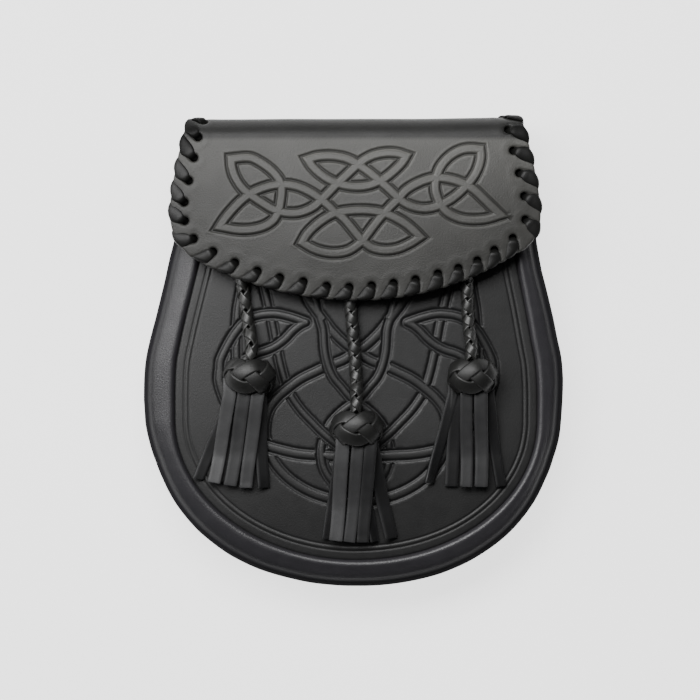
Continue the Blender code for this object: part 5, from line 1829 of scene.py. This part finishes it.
# %% Stitches
def stitch_group():
    """A short thread at every step along a line."""
    tree, given = geometry_group("saddle_stitches", ("Spacing", "Length", "Thread"))
    way = add_node(tree, "GeometryNodeMeshToCurve", {}, {"Mesh": given["Geometry"]})
    even = add_node(tree, "GeometryNodeResampleCurve", {"mode": "LENGTH"},
                    {"Curve": way, "Length": given["Spacing"]})
    bead = add_node(tree, "GeometryNodeMeshUVSphere", {}, {"Segments": 8, "Rings": 6, "Radius": 0.5})
    size = add_node(tree, "ShaderNodeCombineXYZ", {},
                    {0: given["Length"], 1: given["Thread"], 2: given["Thread"]})
    thread = add_node(tree, "GeometryNodeTransform", {}, {"Geometry": bead, "Scale": size})
    tangent = add_node(tree, "GeometryNodeInputTangent")
    turned = add_node(tree, "FunctionNodeAlignRotationToVector", {"axis": "X"}, {"Vector": tangent})
    placed = add_node(tree, "GeometryNodeInstanceOnPoints", {},
                      {"Points": even, "Instance": thread, "Rotation": turned})
    return finish_group(tree, placed, given["Finish"])


STITCHES = stitch_group()
STITCH = {"Spacing": 3.6 * MM, "Length": 3.0 * MM, "Thread": 0.62 * MM, "Finish": THREAD}
THREAD_SINK = 0.22
SEWN_BESIDE = 2.4
SEWN_REACH = 33.5

seam_flat = evenly(seam_line, 2.0)
seam = off_surface(over_the_fold, seam_flat, PANEL_THICKNESS / 2 - THREAD_SINK)[3:-3]
rim_stitches = grow("rim_stitches", seam, [(k, k + 1) for k in range(len(seam) - 1)], STITCHES, STITCH)
sewn = SLEEVE["tunnel"] / 2 + SLEEVE["thickness"] + SEWN_BESIDE
level = BACK_DISH - GAP - SLEEVE["thickness"]
ends = [(x, SLEEVE["y"] + side * sewn, level) for side in (-1, 1) for x in (-SEWN_REACH, SEWN_REACH)]
sleeve_stitches = grow("sleeve_stitches", ends, [(0, 1), (2, 3)], STITCHES, STITCH)
for piece in (rim_stitches, sleeve_stitches):
    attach(piece, "root")

# %% [markdown]
# ## What was cut flat
#
# Each panel was a flat piece of leather before it was folded, stretched over its form or gathered round the
# bend. Only the gusset's and the sleeve's flat sizes are worked out, where those pieces are made.

# %% Sheets


# %% [markdown]
# ## Floor and light
#
# A catalogue photograph: a large soft light stands past the top of the pouch and shines down at a slant,
# which makes the upper wall of each groove dark and its lower wall bright. A weaker one fills from the
# left. The surface is plain and pale and glows a little, as a lit table does, so hardly a shadow shows on
# it.

# %% Stage
FLOOR_REACH = 3
FLOOR_LEVEL = -0.0003
FLOOR_COLOUR = (0.45, 0.45, 0.45, 1)
FLOOR_GLOW = 2.02
ROOM_COLOUR = (0.92, 0.94, 0.96, 1)
ROOM_GLOW = 0.09
POUCH = (0.0, 0.0, 0.02)

floor_mesh = bpy.data.meshes.new("floor")
corners = [(x * FLOOR_REACH, y * FLOOR_REACH, FLOOR_LEVEL) for x, y in ((-1, -1), (1, -1), (1, 1), (-1, 1))]
floor_mesh.from_pydata(corners, [], [(0, 1, 2, 3)])
floor = in_scene("floor", floor_mesh)
paper = bpy.data.materials.new("pale_paper")
paper.use_nodes = True
sheet = paper.node_tree.nodes["Principled BSDF"].inputs
sheet["Base Color"].default_value = FLOOR_COLOUR
sheet["Roughness"].default_value = 0.9
sheet["Emission Color"].default_value = (1, 1, 1, 1)
sheet["Emission Strength"].default_value = FLOOR_GLOW
floor_mesh.materials.append(paper)


# %% Lights
def softbox(name, place, size, power):
    data = bpy.data.lights.new(name, "AREA")
    data.shape = "RECTANGLE"
    data.size, data.size_y = size
    data.energy = power
    light = in_scene(name, data)
    light.location = place
    light.rotation_euler = (Vector(POUCH) - Vector(place)).to_track_quat("-Z", "Y").to_euler()
    light.visible_camera = False


softbox("key_softbox", (-0.2, 0.50, 0.95), (0.9, 0.5), 20.0)
softbox("left_fill", (-0.95, 0.3, 0.85), (0.5, 0.8), 9.0)
world = bpy.data.worlds.new("room")
world.use_nodes = True
room = world.node_tree.nodes["Background"].inputs
room["Color"].default_value = ROOM_COLOUR
room["Strength"].default_value = ROOM_GLOW
bpy.context.scene.world = world
